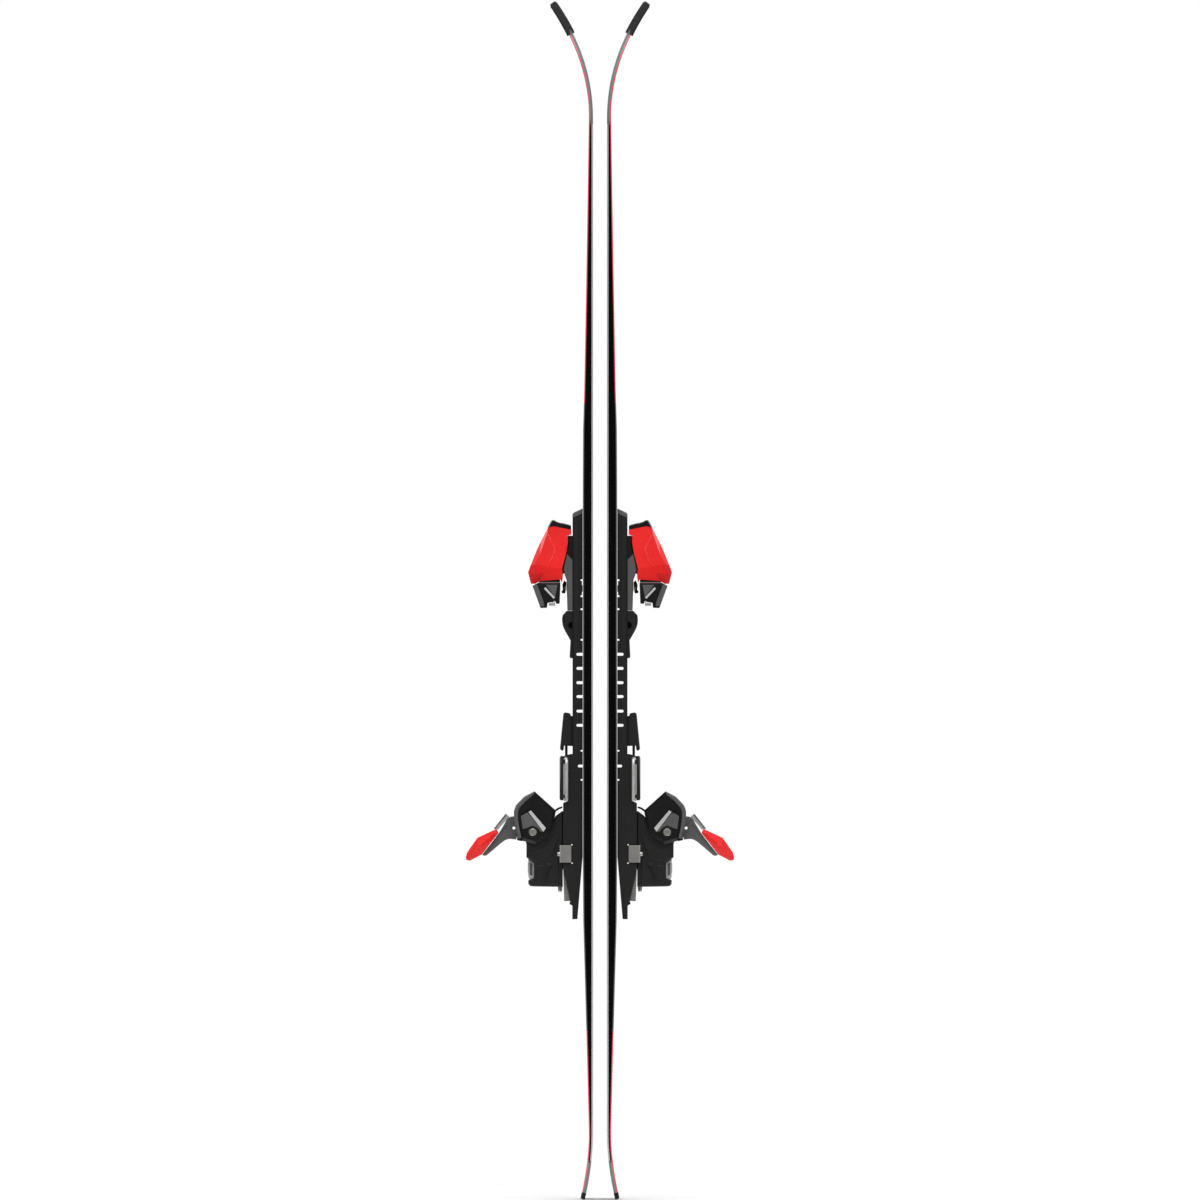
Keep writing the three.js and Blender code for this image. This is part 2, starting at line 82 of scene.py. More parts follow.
def new_object(name, data):
    thing = bpy.data.objects.new(name, data)
    bpy.context.scene.collection.objects.link(thing)
    return thing


# -------- camera
# The photo is seen from so far away that its perspective vanishes.
PHOTO_SPAN = 1.6528
CAMERA_HEIGHT = 0.8247
CAMERA_DISTANCE = 40.0
SENSOR = 36.0


def add_camera():
    data = bpy.data.cameras.new("camera")
    data.sensor_width = SENSOR
    data.lens = SENSOR * CAMERA_DISTANCE / PHOTO_SPAN
    data.clip_end = 100
    camera = new_object("camera", data)
    camera.location = (0, -CAMERA_DISTANCE, CAMERA_HEIGHT)
    camera.rotation_euler = (math.pi / 2, 0, 0)
    bpy.context.scene.camera = camera


# -------- materials
class Nodes:
    """A short way to write a material's node tree."""

    def __init__(self, name):
        self.material = bpy.data.materials.new(name)
        self.material.use_nodes = True
        self.tree = self.material.node_tree
        self.shader = self.tree.nodes["Principled BSDF"]
        self.spot = self.add("ShaderNodeTexCoord").outputs["Object"]

    def add(self, kind, **values):
        node = self.tree.nodes.new(kind)
        for key, value in values.items():
            setattr(node, key, value)
        return node

    def link(self, output, socket):
        self.tree.links.new(output, socket)

    def set(self, **values):
        for key, value in values.items():
            self.shader.inputs[key.replace("_", " ")].default_value = value

    def stretched(self, x, y, z):
        mapping = self.add("ShaderNodeMapping")
        mapping.inputs["Scale"].default_value = (x, y, z)
        self.link(self.spot, mapping.inputs["Vector"])
        return mapping.outputs["Vector"]

    def noise(self, scale, detail=3, vector=None):
        noise = self.add("ShaderNodeTexNoise")
        noise.inputs["Scale"].default_value = scale
        noise.inputs["Detail"].default_value = detail
        self.link(vector or self.spot, noise.inputs["Vector"])
        return noise.outputs["Fac"]

    def wave(self, direction, scale, distortion=0, vector=None, profile="SIN"):
        wave = self.add("ShaderNodeTexWave", wave_type="BANDS", bands_direction=direction, wave_profile=profile)
        wave.inputs["Scale"].default_value = scale
        wave.inputs["Distortion"].default_value = distortion
        self.link(vector or self.spot, wave.inputs["Vector"])
        return wave.outputs["Fac"]

    def axes(self):
        """The X, Y and Z of the shaded spot."""
        split = self.add("ShaderNodeSeparateXYZ")
        self.link(self.spot, split.inputs["Vector"])
        return split.outputs

    def math(self, operation, a, b=None):
        node = self.add("ShaderNodeMath", operation=operation)
        for socket, value in zip(node.inputs, (a, b)):
            if value is None:
                continue
            if isinstance(value, (int, float)):
                socket.default_value = value
            else:
                self.link(value, socket)
        return node.outputs[0]

    def ramp(self, factor, stops, interpolation="LINEAR"):
        ramp = self.add("ShaderNodeValToRGB")
        ramp.color_ramp.interpolation = interpolation
        elements = ramp.color_ramp.elements
        while len(elements) < len(stops):
            elements.new(0.5)
        for element, (position, color) in zip(elements, stops):
            element.position = position
            element.color = (*color, 1)
        self.link(factor, ramp.inputs["Fac"])
        return ramp.outputs["Color"]

    def mix(self, factor, a, b):
        node = self.add("ShaderNodeMix", data_type="RGBA")
        for name, value in (("Factor", factor), ("A", a), ("B", b)):
            socket = next(s for s in node.inputs
                          if s.name == name and s.type in ("RGBA", "VALUE") and s.enabled)
            if isinstance(value, tuple):
                socket.default_value = (*value, 1)
            elif isinstance(value, (int, float)):
                socket.default_value = value
            else:
                self.link(value, socket)
        return next(s for s in node.outputs if s.type == "RGBA" and s.enabled)

    def bump(self, height, strength, distance):
        bump = self.add("ShaderNodeBump")
        bump.inputs["Strength"].default_value = strength
        bump.inputs["Distance"].default_value = distance
        self.link(height, bump.inputs["Height"])
        self.link(bump.outputs["Normal"], self.shader.inputs["Normal"])

    def rough(self, factor, low, high):
        spread = self.add("ShaderNodeMapRange")
        spread.inputs["To Min"].default_value = low
        spread.inputs["To Max"].default_value = high
        self.link(factor, spread.inputs["Value"])
        self.link(spread.outputs["Result"], self.shader.inputs["Roughness"])

    def color(self, output):
        self.link(output, self.shader.inputs["Base Color"])


def tinted(color, factor):
    return tuple(min(1, channel * factor) for channel in color)


def moulded_plastic(name, color, rough, grain=0.00003, coat=0.0, shine=0.5):
    """Injection-moulded plastic: fine spark-eroded grain, faint flow marks and a little colour variation."""
    n = Nodes(name)
    flow = n.noise(35, 2, n.stretched(1, 1, 0.35))
    n.color(n.ramp(flow, [(0.3, tinted(color, 0.88)), (0.7, tinted(color, 1.12))]))
    n.rough(n.noise(160, 3), rough - 0.06, rough + 0.08)
    n.bump(n.noise(2600, 2), 0.35, grain)
    n.set(Coat_Weight=coat, Coat_Roughness=0.12, Specular_IOR_Level=shine)
    return n.material


def gloss_red():
    """Glossy through-dyed red plastic with a slight orange peel."""
    n = Nodes("red_plastic")
    n.color(n.ramp(n.noise(28, 2), [(0.3, (0.8, 0.009, 0.009)), (0.7, (0.88, 0.014, 0.013))]))
    n.rough(n.noise(120, 3), 0.26, 0.34)
    n.bump(n.noise(260, 2), 0.04, 0.00002)
    n.set(Coat_Weight=0.15, Coat_Roughness=0.1, Specular_IOR_Level=0.42)
    return n.material


SCRATCH_DEPTH = 0.000006


def metal(name, color, rough):
    """Steel with fine drawing lines across the ski and cloudy plating."""
    n = Nodes(name)
    lines = n.noise(900, 4, n.stretched(1, 0.05, 1))
    clouds = n.noise(55, 3)
    n.color(n.mix(clouds, tinted(color, 0.82), tinted(color, 1.1)))
    wear = n.math("ADD", n.math("MULTIPLY", lines, 0.6), n.math("MULTIPLY", clouds, 0.4))
    n.rough(wear, rough - 0.08, rough + 0.14)
    n.bump(lines, 0.15, SCRATCH_DEPTH)
    n.set(Metallic=1.0)
    return n.material


def edge_steel():
    """Ground steel edge; past the sidewalls it runs out under the bare laminate."""
    n = Nodes("edge_steel")
    lines = n.noise(900, 4, n.stretched(1, 1, 0.02))
    along = n.axes()["Z"]
    steel = n.math("MULTIPLY", n.math("GREATER_THAN", along, WALL_FROM * MM),
                   n.math("LESS_THAN", along, WALL_TO * MM))
    bright = n.mix(lines, (0.46, 0.46, 0.47), (0.6, 0.6, 0.61))
    n.color(n.mix(steel, n.mix(lines, (0.12, 0.135, 0.13), (0.19, 0.205, 0.2)), bright))
    n.link(n.math("MULTIPLY", steel, 0.6), n.shader.inputs["Metallic"])
    n.rough(lines, 0.4, 0.58)
    n.bump(lines, 0.15, SCRATCH_DEPTH)
    return n.material


def sidewall_plastic():
    """Deep black sidewall with faint milling marks along the ski."""
    n = Nodes("sidewall")
    along = n.noise(240, 3, n.stretched(1, 1, 0.06))
    n.color(n.ramp(along, [(0.35, (0.0006, 0.0006, 0.0007)), (0.7, (0.0016, 0.0016, 0.0018))]))
    n.rough(along, 0.3, 0.48)
    n.bump(along, 0.25, 0.00004)
    n.set(Specular_IOR_Level=0.08)
    return n.material


def laminate():
    """Bare glass laminate: thin plies seen edge-on, with stray fibres along the ski."""
    n = Nodes("laminate")
    fibres = n.noise(700, 4, n.stretched(1, 1, 0.03))
    plies = n.wave("X", 260, 1.2)
    tone = n.mix(n.math("MULTIPLY", plies, 0.35), (0.17, 0.205, 0.19), (0.115, 0.14, 0.128))
    n.color(n.mix(n.math("MULTIPLY", fibres, 0.4), tone, (0.24, 0.27, 0.255)))
    n.rough(fibres, 0.45, 0.65)
    n.bump(fibres, 0.25, 0.00004)
    return n.material


def running_base():
    """Black sintered base: stone-ground structure along the ski and a faint wax haze."""
    n = Nodes("running_base")
    structure = n.wave("Y", 420, 2.5, n.stretched(1, 1, 0.05))
    haze = n.noise(14, 4, n.stretched(1, 1, 0.2))
    n.color(n.ramp(haze, [(0.3, (0.012, 0.012, 0.014)), (0.75, (0.032, 0.032, 0.036))]))
    n.rough(haze, 0.32, 0.5)
    n.bump(structure, 0.35, 0.00005)
    return n.material


PINK, RED = (0.84, 0.075, 0.14), (0.8, 0.03, 0.045)
INK, PANEL, PANEL_EDGE = (0.006, 0.006, 0.007), (0.016, 0.016, 0.018), (0.042, 0.042, 0.046)


def topsheet_lacquer():
    """Black lacquer with angular dark grey panels, a red to pink line along the border at both ends, and a grey
    painted highlight along the border between them.
    """
    n = Nodes("topsheet")
    axes = n.axes()
    along, across = axes["Z"], n.math("ABSOLUTE", axes["Y"])
    slant = n.math("FRACT", n.math("ADD", n.math("MULTIPLY", along, 5.2), n.math("MULTIPLY", across, 9.0)))
    panels = n.ramp(slant, [(0.0, INK), (0.46, PANEL), (0.5, PANEL_EDGE), (0.56, INK)], "CONSTANT")
    ends = n.math("MAXIMUM", n.math("GREATER_THAN", along, FRONT_LINE_FROM * MM),
                  n.math("LESS_THAN", along, REAR_LINE_TO * MM))
    width = n.add("ShaderNodeAttribute", attribute_name="edge_distance").outputs["Fac"]
    border = n.math("LESS_THAN", width, LINE_WIDTH * MM)
    warm = n.ramp(n.noise(4, 1), [(0.4, PINK), (0.6, RED)])
    # Between the two ends the border is painted light grey: a painted highlight where a lit bevelled edge would
    # shine.
    panels_and_painted_highlight = n.mix(border, panels, (0.13, 0.13, 0.135))
    n.color(n.mix(n.math("MULTIPLY", ends, border), panels_and_painted_highlight, warm))
    n.rough(n.noise(60, 3), 0.16, 0.3)
    n.bump(n.noise(5200, 0), 0.04, 0.00002)
    n.set(Coat_Weight=0.6, Coat_Roughness=0.06)
    return n.material


def guard_plastic():
    """Black tip guard with fine diagonal ribs."""
    n = Nodes("guard_plastic")
    ribs = n.wave("DIAGONAL", 210, profile="TRI")
    n.color(n.mix(ribs, (0.0018, 0.0018, 0.0018), (0.0062, 0.0062, 0.0065)))
    n.rough(n.noise(300, 2), 0.42, 0.58)
    n.bump(ribs, 0.35, 0.00012)
    n.set(Specular_IOR_Level=0.25)
    return n.material


# One look for each of the record's slots, and zinc, which is a finish within the slot steel.
MATERIALS = {
    "laminate": laminate(),
    "running_base": running_base(),
    "edge_steel": edge_steel(),
    "sidewall": sidewall_plastic(),
    "topsheet": topsheet_lacquer(),
    "guard_plastic": guard_plastic(),
    "black_plastic": moulded_plastic("black_plastic", (0.0092, 0.0092, 0.0094), 0.46, shine=0.34),
    "gloss_black": moulded_plastic("gloss_black", (0.0056, 0.0056, 0.0058), 0.32, 0.00002, shine=0.34),
    "grey_plastic": moulded_plastic("grey_plastic", (0.085, 0.085, 0.086), 0.5),
    "light_grey": moulded_plastic("light_grey", (0.5, 0.5, 0.5), 0.3, 0.00001, 0.3),
    "red_plastic": gloss_red(),
    "glide_plastic": moulded_plastic("glide_plastic", (0.014, 0.014, 0.014), 0.34, 0.00001, shine=0.4),
    "steel": metal("steel", (0.5, 0.485, 0.465), 0.36),
    "zinc": metal("zinc", (0.72, 0.71, 0.7), 0.44),
}


# -------- meshes
WIDE = (-60, 60)  # past both sides of every piece, for cutting tools
MITRE = 2.0  # a corner of an inset outline moves by at most this many times the inset


def mesh_of(points, faces):
    """A mesh in metres from points (height, width, distance) in millimetres."""
    mesh = bpy.data.meshes.new("mesh")
    mesh.from_pydata([Vector(p) * MM for p in points], [], faces)
    b = bmesh.new()
    b.from_mesh(mesh)
    bmesh.ops.recalc_face_normals(b, faces=b.faces)
    b.to_mesh(mesh)
    b.free()
    return mesh


def skinned(rings):
    """A closed body through rings of equally many points; the first and the last ring are its ends."""
    count = len(rings[0])
    last = (len(rings) - 1) * count
    faces = [tuple(range(count)), tuple(range(last, last + count))]
    for start in range(0, last, count):
        for i in range(count):
            a, b = start + i, start + (i + 1) % count
            faces.append((a, b, b + count, a + count))
    return mesh_of([point for ring in rings for point in ring], faces)


def loft(sections):
    """A closed body through side outlines: sections are (width, outline), outlines of equal length."""
    return skinned([[(h, y, s) for h, s in outline] for y, outline in sections])


def prism(outline, low, high):
    return loft([(low, outline), (high, outline)])


def plan_prism(outline, low, high):
    """A plan outline of [width, distance] points, from height low to high."""
    return skinned([[(h, y, s) for y, s in outline] for h in (low, high)])


def block(heights, widths, distances):
    (left, right), (rear, front) = widths, distances
    return plan_prism([(left, rear), (right, rear), (right, front), (left, front)], *heights)


def spans(low, high):
    """A stretch of width on either side of the ski's middle."""
    return (-high, -low), (low, high)


def inset(outline, amount):
    """The outline moved inwards by amount on every side."""
    area = sum(a[0] * b[1] - b[0] * a[1] for a, b in zip(outline, outline[1:] + outline[:1]))
    turn = 1 if area > 0 else -1
    moved = []
    for i, point in enumerate(outline):
        before, after = Vector(outline[i - 1]), Vector(outline[(i + 1) % len(outline)])
        here = Vector(point)
        first, second = (here - before).normalized(), (after - here).normalized()
        normal_a, normal_b = Vector((-first.y, first.x)) * turn, Vector((-second.y, second.x)) * turn
        middle = (normal_a + normal_b).normalized()
        reach = min(MITRE, 1 / max(0.2, middle.dot(normal_a)))
        moved.append(tuple(here + middle * amount * reach))
    return moved


def chamfered(outline, half, depth, amount):
    """A prism across the whole width whose side edges are chamfered."""
    small = inset(outline, amount)
    return loft([(-half, small), (depth - half, outline), (half - depth, outline), (half, small)])


def circle(sides):
    return [2 * math.pi * i / sides for i in range(sides)]


def about(axis, through, position, radius, angle):
    """The point at a radius and an angle about an axis that runs through two fixed coordinates."""
    u, v = through[0] + radius * math.cos(angle), through[1] + radius * math.sin(angle)
    return {"x": (position, u, v), "y": (u, position, v), "z": (u, v, position)}[axis]


def turned(profile, axis, through, sides=40):
    """A turned body about an axis: profile is a list of (position along the axis, radius)."""
    return skinned([[about(axis, through, position, radius, angle) for angle in circle(sides)]
                    for position, radius in profile])


def rod(axis, radius, low, high, through, sides=40):
    return turned([(low, radius), (high, radius)], axis, through, sides)


def star_socket(axis, radius, low, high, through, lobes=6):
    """A six-lobed recess for a screwdriver, as a cutting tool."""
    return skinned([[about(axis, through, position, radius * (0.86 + 0.14 * math.cos(lobes * angle)), angle)
                     for angle in circle(lobes * 6)] for position in (low, high)])


def screw_head(axis, radius, low, high, through, face=1):
    """A pan head with a six-lobed socket. face is +1 where the socket opens towards high, -1 towards low."""
    start, end = (low, high) if face > 0 else (high, low)
    step = end - start
    profile = [(start, radius), (start + step * 0.55, radius), (start + step * 0.85, radius * 0.9),
               (end, radius * 0.72)]
    socket = star_socket(axis, radius * 0.46, end - step * 0.6, end + step * 0.5, through)
    return cut(turned(profile, axis, through), socket)


def wire_ring(centre, radius, side, up, count):
    """Points around a wire; side and up are square to it."""
    return [centre + radius * (math.cos(angle) * side + math.sin(angle) * up) for angle in circle(count)]


def tube(points, radius):
    """A round wire through a list of points."""
    curve = [Vector(p) for p in points]
    rings, side = [], Vector((1, 0, 0))
    for i, point in enumerate(curve):
        ahead = (curve[min(i + 1, len(curve) - 1)] - curve[max(i - 1, 0)]).normalized()
        side = (side - ahead * side.dot(ahead)).normalized()
        rings.append(wire_ring(point, radius, side, ahead.cross(side), 20))
    return skinned(rings)


def coil(radius, wire, start, end, turns, height):
    """A round wire wound into a spring along the ski."""
    steps, pitch, rings = turns * 28, (end - start) / (2 * math.pi * turns), []
    for step in range(steps + 1):
        angle = 2 * math.pi * turns * step / steps
        out = Vector((math.cos(angle), math.sin(angle), 0))
        forward = Vector((-radius * math.sin(angle), radius * math.cos(angle), pitch)).normalized()
        centre = Vector((height, 0, start + (end - start) * step / steps)) + out * radius
        rings.append(wire_ring(centre, wire, out, out.cross(forward), 10))
    return skinned(rings)


def modified(mesh, kind, **values):
    """A copy of the mesh with one modifier applied."""
    thing = new_object("temporary", mesh)
    modifier = thing.modifiers.new("modifier", kind)
    for key, value in values.items():
        setattr(modifier, key, value)
    depsgraph = bpy.context.evaluated_depsgraph_get()
    result = bpy.data.meshes.new_from_object(thing.evaluated_get(depsgraph))
    bpy.data.objects.remove(thing)
    return result


def combined(mesh, others, operation):
    for other in others:
        tool = new_object("tool", other)
        mesh = modified(mesh, "BOOLEAN", operation=operation, solver="EXACT", object=tool)
        bpy.data.objects.remove(tool)
    return mesh


def cut(mesh, *tools):
    return combined(mesh, tools, "DIFFERENCE")


def joined(mesh, *others):
    return combined(mesh, others, "UNION")


def overlap(mesh, *others):
    return combined(mesh, others, "INTERSECT")


def beveled(mesh, width, segments=2, angle=24):
    """The mesh with its sharp edges rounded, width in millimetres."""
    return modified(mesh, "BEVEL", width=width * MM, segments=segments, limit_method="ANGLE",
                    angle_limit=math.radians(angle))


def smoothed(mesh, angle):
    """The mesh shaded smoothly up to an angle, its large flat faces kept evenly lit."""
    mesh.shade_smooth()
    mesh.set_sharp_from_angle(angle=math.radians(angle))
    return modified(mesh, "WEIGHTED_NORMAL", keep_sharp=True, weight=90)


def place(name, mesh, body, slot, replaces=(), smooth=28, finish=None):
    """One piece on each ski, riding on its body. finish is a look of its own within the slot."""
    mesh = smoothed(mesh, smooth)
    mesh.materials.clear()
    mesh.materials.append(MATERIALS[finish or slot])
    for side, where in PLACES.items():
        piece = new_object(f"{side}_{name}_look", mesh)
        piece.matrix_world = where
        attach(piece, f"{side}_{body}")
        if replaces:
            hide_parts(*[f"{side}_{node}" for node in replaces])


def merged(*meshes):
    b = bmesh.new()
    for mesh in meshes:
        b.from_mesh(mesh)
    result = bpy.data.meshes.new("merged")
    b.to_mesh(result)
    b.free()
    return result


def mirrored_pair(mesh):
    """The mesh and its mirror image across the ski's middle, as one mesh."""
    other = mesh.copy()
    other.transform(Matrix.Scale(-1, 4, (0, 1, 0)))
    other.flip_normals()
    return merged(mesh, other)


# -------- the ski's curve
def base_curve(at):
    """Height and slope of the running surface."""
    if at > TIP_RISE["from"]:
        rise, past, turn = TIP_RISE, at - TIP_RISE["from"], 1
    elif at < TAIL_RISE["from"]:
        rise, past, turn = TAIL_RISE, TAIL_RISE["from"] - at, -1
    else:
        return 0, 0
    share, power = past / rise["length"], rise["power"]
    return rise["height"] * share**power, turn * rise["height"] * power / rise["length"] * share ** (power - 1)


def half_width(at):
    """Half the ski's width: the sidecut, and beyond it the rounded tip or tail."""
    end = SHOVEL if at > WAIST[0] else TAIL
    share = (at - WAIST[0]) / (end[0] - WAIST[0])
    if share <= 1:
        return WAIST[1] + (end[1] - WAIST[1]) * share**2
    return end[1] * math.sqrt(1 - min(0.97, ((at - end[0]) / end[2]) ** 2))


def thickness(at):
    for (a, thick_a), (b, thick_b) in zip(THICKNESS, THICKNESS[1:]):
        if at <= b:
            return thick_a + (thick_b - thick_a) * (at - a) / (b - a)
    return THICKNESS[-1][1]


TAIL_STEP, TIP_STEP = 4.5, 5  # between the cross-sections at the curved ends
FLAT_STEPS = 72


def stations(start, end):
    """Distances of the cross-sections, closer where the ski curves, the CAD layers' own stations among them."""
    tail, tip = TAIL_RISE["from"], TIP_RISE["from"]
    found = {start, end, *[at for at, _ in THICKNESS]}
    found.update(TAIL_STEP * i for i in range(math.ceil(tail / TAIL_STEP)))
    found.update(tail + (tip - tail) / FLAT_STEPS * i for i in range(FLAT_STEPS + 1))
    found.update(tip + TIP_STEP * i for i in range(math.ceil((THICKNESS[-1][0] - tip) / TIP_STEP)))
    return sorted(at for at in found if start <= at <= end)


def on_ski(at, lift, across):
    """The point that is lifted squarely off the running surface."""
    height, slope = base_curve(at)
    length = math.hypot(1, slope)
    return height + lift / length, across, at - lift * slope / length


def swept(start, end, section):
    """A body along the ski: section(at) gives the cross-section as (lift above the base, width) points."""
    return skinned([[on_ski(at, lift, across) for lift, across in section(at)] for at in stations(start, end)])


def strip(start, end, low, high, inner, outer, soft=0.0):
    """A layer between low and high and between two widths, its four long edges softened."""
    def section(at):
        l, h, i, o = low(at), high(at), inner(at), outer(at)
        if not soft:
            return [(l, i), (h, i), (h, o), (l, o)]
        way = soft if o > i else -soft
        return [(l, i), (h - soft, i), (h, i + way), (h, o - way), (h - soft, o), (l, o)]

    return swept(start, end, section)


def slab(start, end, low, high, half, soft=0.0):
    """A layer across the whole ski, half wide on either side."""
    return strip(start, end, low, high, lambda at: -half(at), half, soft)


def under_sheet(at):
    return thickness(at) - SHEET - CLEAR


def over_edge(at):
    return EDGE_HEIGHT + CLEAR


def ski_layers():
    def core_half(at):
        return half_width(at) - (WALL_WIDTH + CLEAR if WALL_FROM < at < WALL_TO else 0)

    core = slab(TAIL_START, TIP_END, over_edge, under_sheet, core_half)
    place("core", core, "ski", "laminate", ["core"])

    base = slab(TAIL_START + BASE_SHORT, TIP_END - BASE_SHORT, lambda at: 0, lambda at: EDGE_HEIGHT,
                lambda at: half_width(at) - EDGE_WIDTH - BASE_FIT)
    place("base", base, "ski", "running_base", ["base"])

    rail = strip(TAIL_START, TIP_END, lambda at: HAIR, over_edge,
                 lambda at: half_width(at) - EDGE_WIDTH, lambda at: half_width(at) - HAIR, 0.15)
    place("steel_edge", mirrored_pair(rail), "ski", "edge_steel", ["steel_edge"])

    for letter, turn in (("a", 1), ("b", -1)):
        wall = strip(WALL_FROM + CLEAR, WALL_TO - CLEAR, over_edge, under_sheet,
                     lambda at: turn * (half_width(at) - WALL_WIDTH), lambda at: turn * half_width(at), 0.3)
        place("sidewall_" + letter, wall, "ski", "sidewall", ["sidewall_" + letter])

    sheet = slab(TAIL_START, TIP_END, under_sheet, thickness, half_width, 0.45)
    add_edge_distance(sheet)
    place("topsheet", sheet, "ski", "topsheet", ["topsheet"])


TOP_FACING = 0.8  # least upward part of the normal of a face on top of the ski
CROSSWISE = 0.03  # metres that an edge on top has to reach across the ski to be split


def add_edge_distance(mesh):
    """Stores on each point how far it is from the ski's side, so that the border line can follow the sidecut.

    The top is first split on both sides of the line's inner edge, which keeps that edge sharp."""
    split = bmesh.new()
    split.from_mesh(mesh)
    for offset in (LINE_WIDTH - LINE_BAND, LINE_WIDTH + LINE_BAND):
        for turn in (1, -1):
            top = [f for f in split.faces if f.normal.x > TOP_FACING]
            edges = dict.fromkeys(e for f in top for e in f.edges
                                  if abs(e.verts[0].co.y - e.verts[1].co.y) > CROSSWISE)
            halves = []
            for edge in edges:
                a, b = (vert.co for vert in edge.verts)
                target = turn * (half_width((a.z + b.z) / 2 / MM) - offset) * MM
                share = (target - a.y) / (b.y - a.y)
                if 0.001 < share < 0.999:
                    halves.append(bmesh.utils.edge_split(edge, edge.verts[0], share)[1])
            bmesh.ops.connect_verts(split, verts=halves)
    split.to_mesh(mesh)
    split.free()
    attribute = mesh.attributes.new("edge_distance", "FLOAT", "POINT")
    for spot, vert in zip(attribute.data, mesh.vertices):
        spot.value = max(0.0, half_width(vert.co.z / MM) * MM - abs(vert.co.y))


GUARD_FROM, GUARD_TO, GUARD_WALL, GUARD_SOFT = 1605.6, 1648.6, 2.8, 1.6
GUARD_TAPER_FROM, GUARD_TAPER = 1646, 0.65
GUARD_FIT, TAIL_GUARD_TO, TAIL_GUARD_WALL = 0.15, 8.3, 0.25


def add_guards():
    def body_section(at):
        wall = GUARD_WALL - GUARD_TAPER * max(0, at - GUARD_TAPER_FROM)
        half, top, soft = half_width(at) + wall, thickness(at) + wall, GUARD_SOFT
        right = [(top, half - soft), (top - soft, half), (-wall + soft, half), (-wall, half - soft)]
        return [(lift, -across) for lift, across in reversed(right)] + right

    body = swept(GUARD_FROM, GUARD_TO, body_section)
    pocket = slab(GUARD_FROM - 15.6, TIP_END + 0.2, lambda at: -GUARD_FIT, lambda at: thickness(at) + GUARD_FIT,
                  lambda at: half_width(at) + GUARD_FIT)
    mouth = [(28.3, 1606.6), (31.6, 1612.4), (33.6, 1612.6), (31.6, 1606), (29.6, 1600), (26, 1600)]
    guard = beveled(cut(body, pocket, prism(mouth, *WIDE)), 0.7)
    place("tip_guard", guard, "ski", "guard_plastic", ["tip_guard"])

    tail = slab(0.2, TAIL_GUARD_TO, lambda at: -TAIL_GUARD_WALL, lambda at: thickness(at) + TAIL_GUARD_WALL,
                half_width)
    below_floor = block(WIDE, WIDE, (-30, 0))
    place("tail_guard", beveled(cut(tail, below_floor), 0.5), "ski", "guard_plastic", ["tail_guard"])


# -------- plate
PLATE_FOOT = 14.3
# Slots and notches along the foot of the plate: distance, depth and height.
SLOTS = [(596, 6.6, 4), *[(at, 8.6, 4) for at in (652.1, 671.6, 691.7, 710.8, 730.5, 749.9)],
         *[(at, 3, 2.4) for at in (577, 617, 769.8, 812, 830, 852)]]
PLATE_SCREWS = [(turn * 20, at) for turn in (-1, 1) for at in (680, 701, 722)]


def slot_tool(at, depth, height):
    """A slot across the plate, open towards the ski and round at its inner end."""
    start, end, half = PLATE_FOOT - 2.3, PLATE_FOOT + depth, height / 2
    arc = [(end - half + half * math.cos(a), at + half * math.sin(a))
           for a in (math.pi * (i / 6 - 0.5) for i in range(7))]
    return prism([(start, at - half), *arc, (start, at + half)], *WIDE)


def add_plate():
    half = cad("plate")[1].y
    outline = [
        (PLATE_FOOT, 943.7), (26.2, 938.2), (26.2, 613), (33, 612), (41, 609), (41, 601), (36, 590), (34.4, 585),
        (34.4, 548), (41.2, 545), (41.2, 454), (31.3, 410), (32.6, 406.4), (28.5, 404), (28.5, 385.4),
        (21.5, 385.4), (PLATE_FOOT, 471.2),
    ]
    cap = [(20, 941.2), (28.2, 937.8), (28.2, 600), (20, 600)]
    dots = [rod("y", 1.1, *WIDE, spot, 16) for spot in ((29.2, 487.6), (28.8, 462.2))]
    channel = prism([(31.1, 400), (50, 400), (50, 540.6), (36.2, 540.6), (36.2, 437), (31.1, 410)],
                    -22.3, 22.3)
    bay = block((28.2, 60), (-25, 25), (586, 640))
    seams = [block((18.4, 19.0), span, (622, 936)) for span in spans(30.5, 40)]
    slivers = [block((12, 15.2), WIDE, stretch) for stretch in ((845, 853), (829, 836))]
    body = cut(
        joined(prism(outline, -half, half), prism(cap, -29.6, 29.6)), channel, bay, *seams, *slivers, *dots,
        *[slot_tool(*slot) for slot in SLOTS],
        *[block((27, 30), span, (672, 742)) for span in spans(8, 14)],
        *[rod("x", 4.4, 26.4, 30, spot) for spot in PLATE_SCREWS],
    )
    place("plate", beveled(body, 0.45), "ski", "black_plastic", ["plate"])

    nose = [(PLATE_FOOT, 950.8), (26.4, 945.2), (28.4, 943), (28.4, 937.0), (PLATE_FOOT, 943.3)]
    place("plate_nose", beveled(chamfered(nose, half, 2, 0.6), 0.6), "ski", "grey_plastic", ["plate_nose"])

    screws = [screw_head("x", 3.7, 26.2, 28.1, spot) for spot in PLATE_SCREWS]
    place("plate_screws", merged(*screws), "ski", "steel")


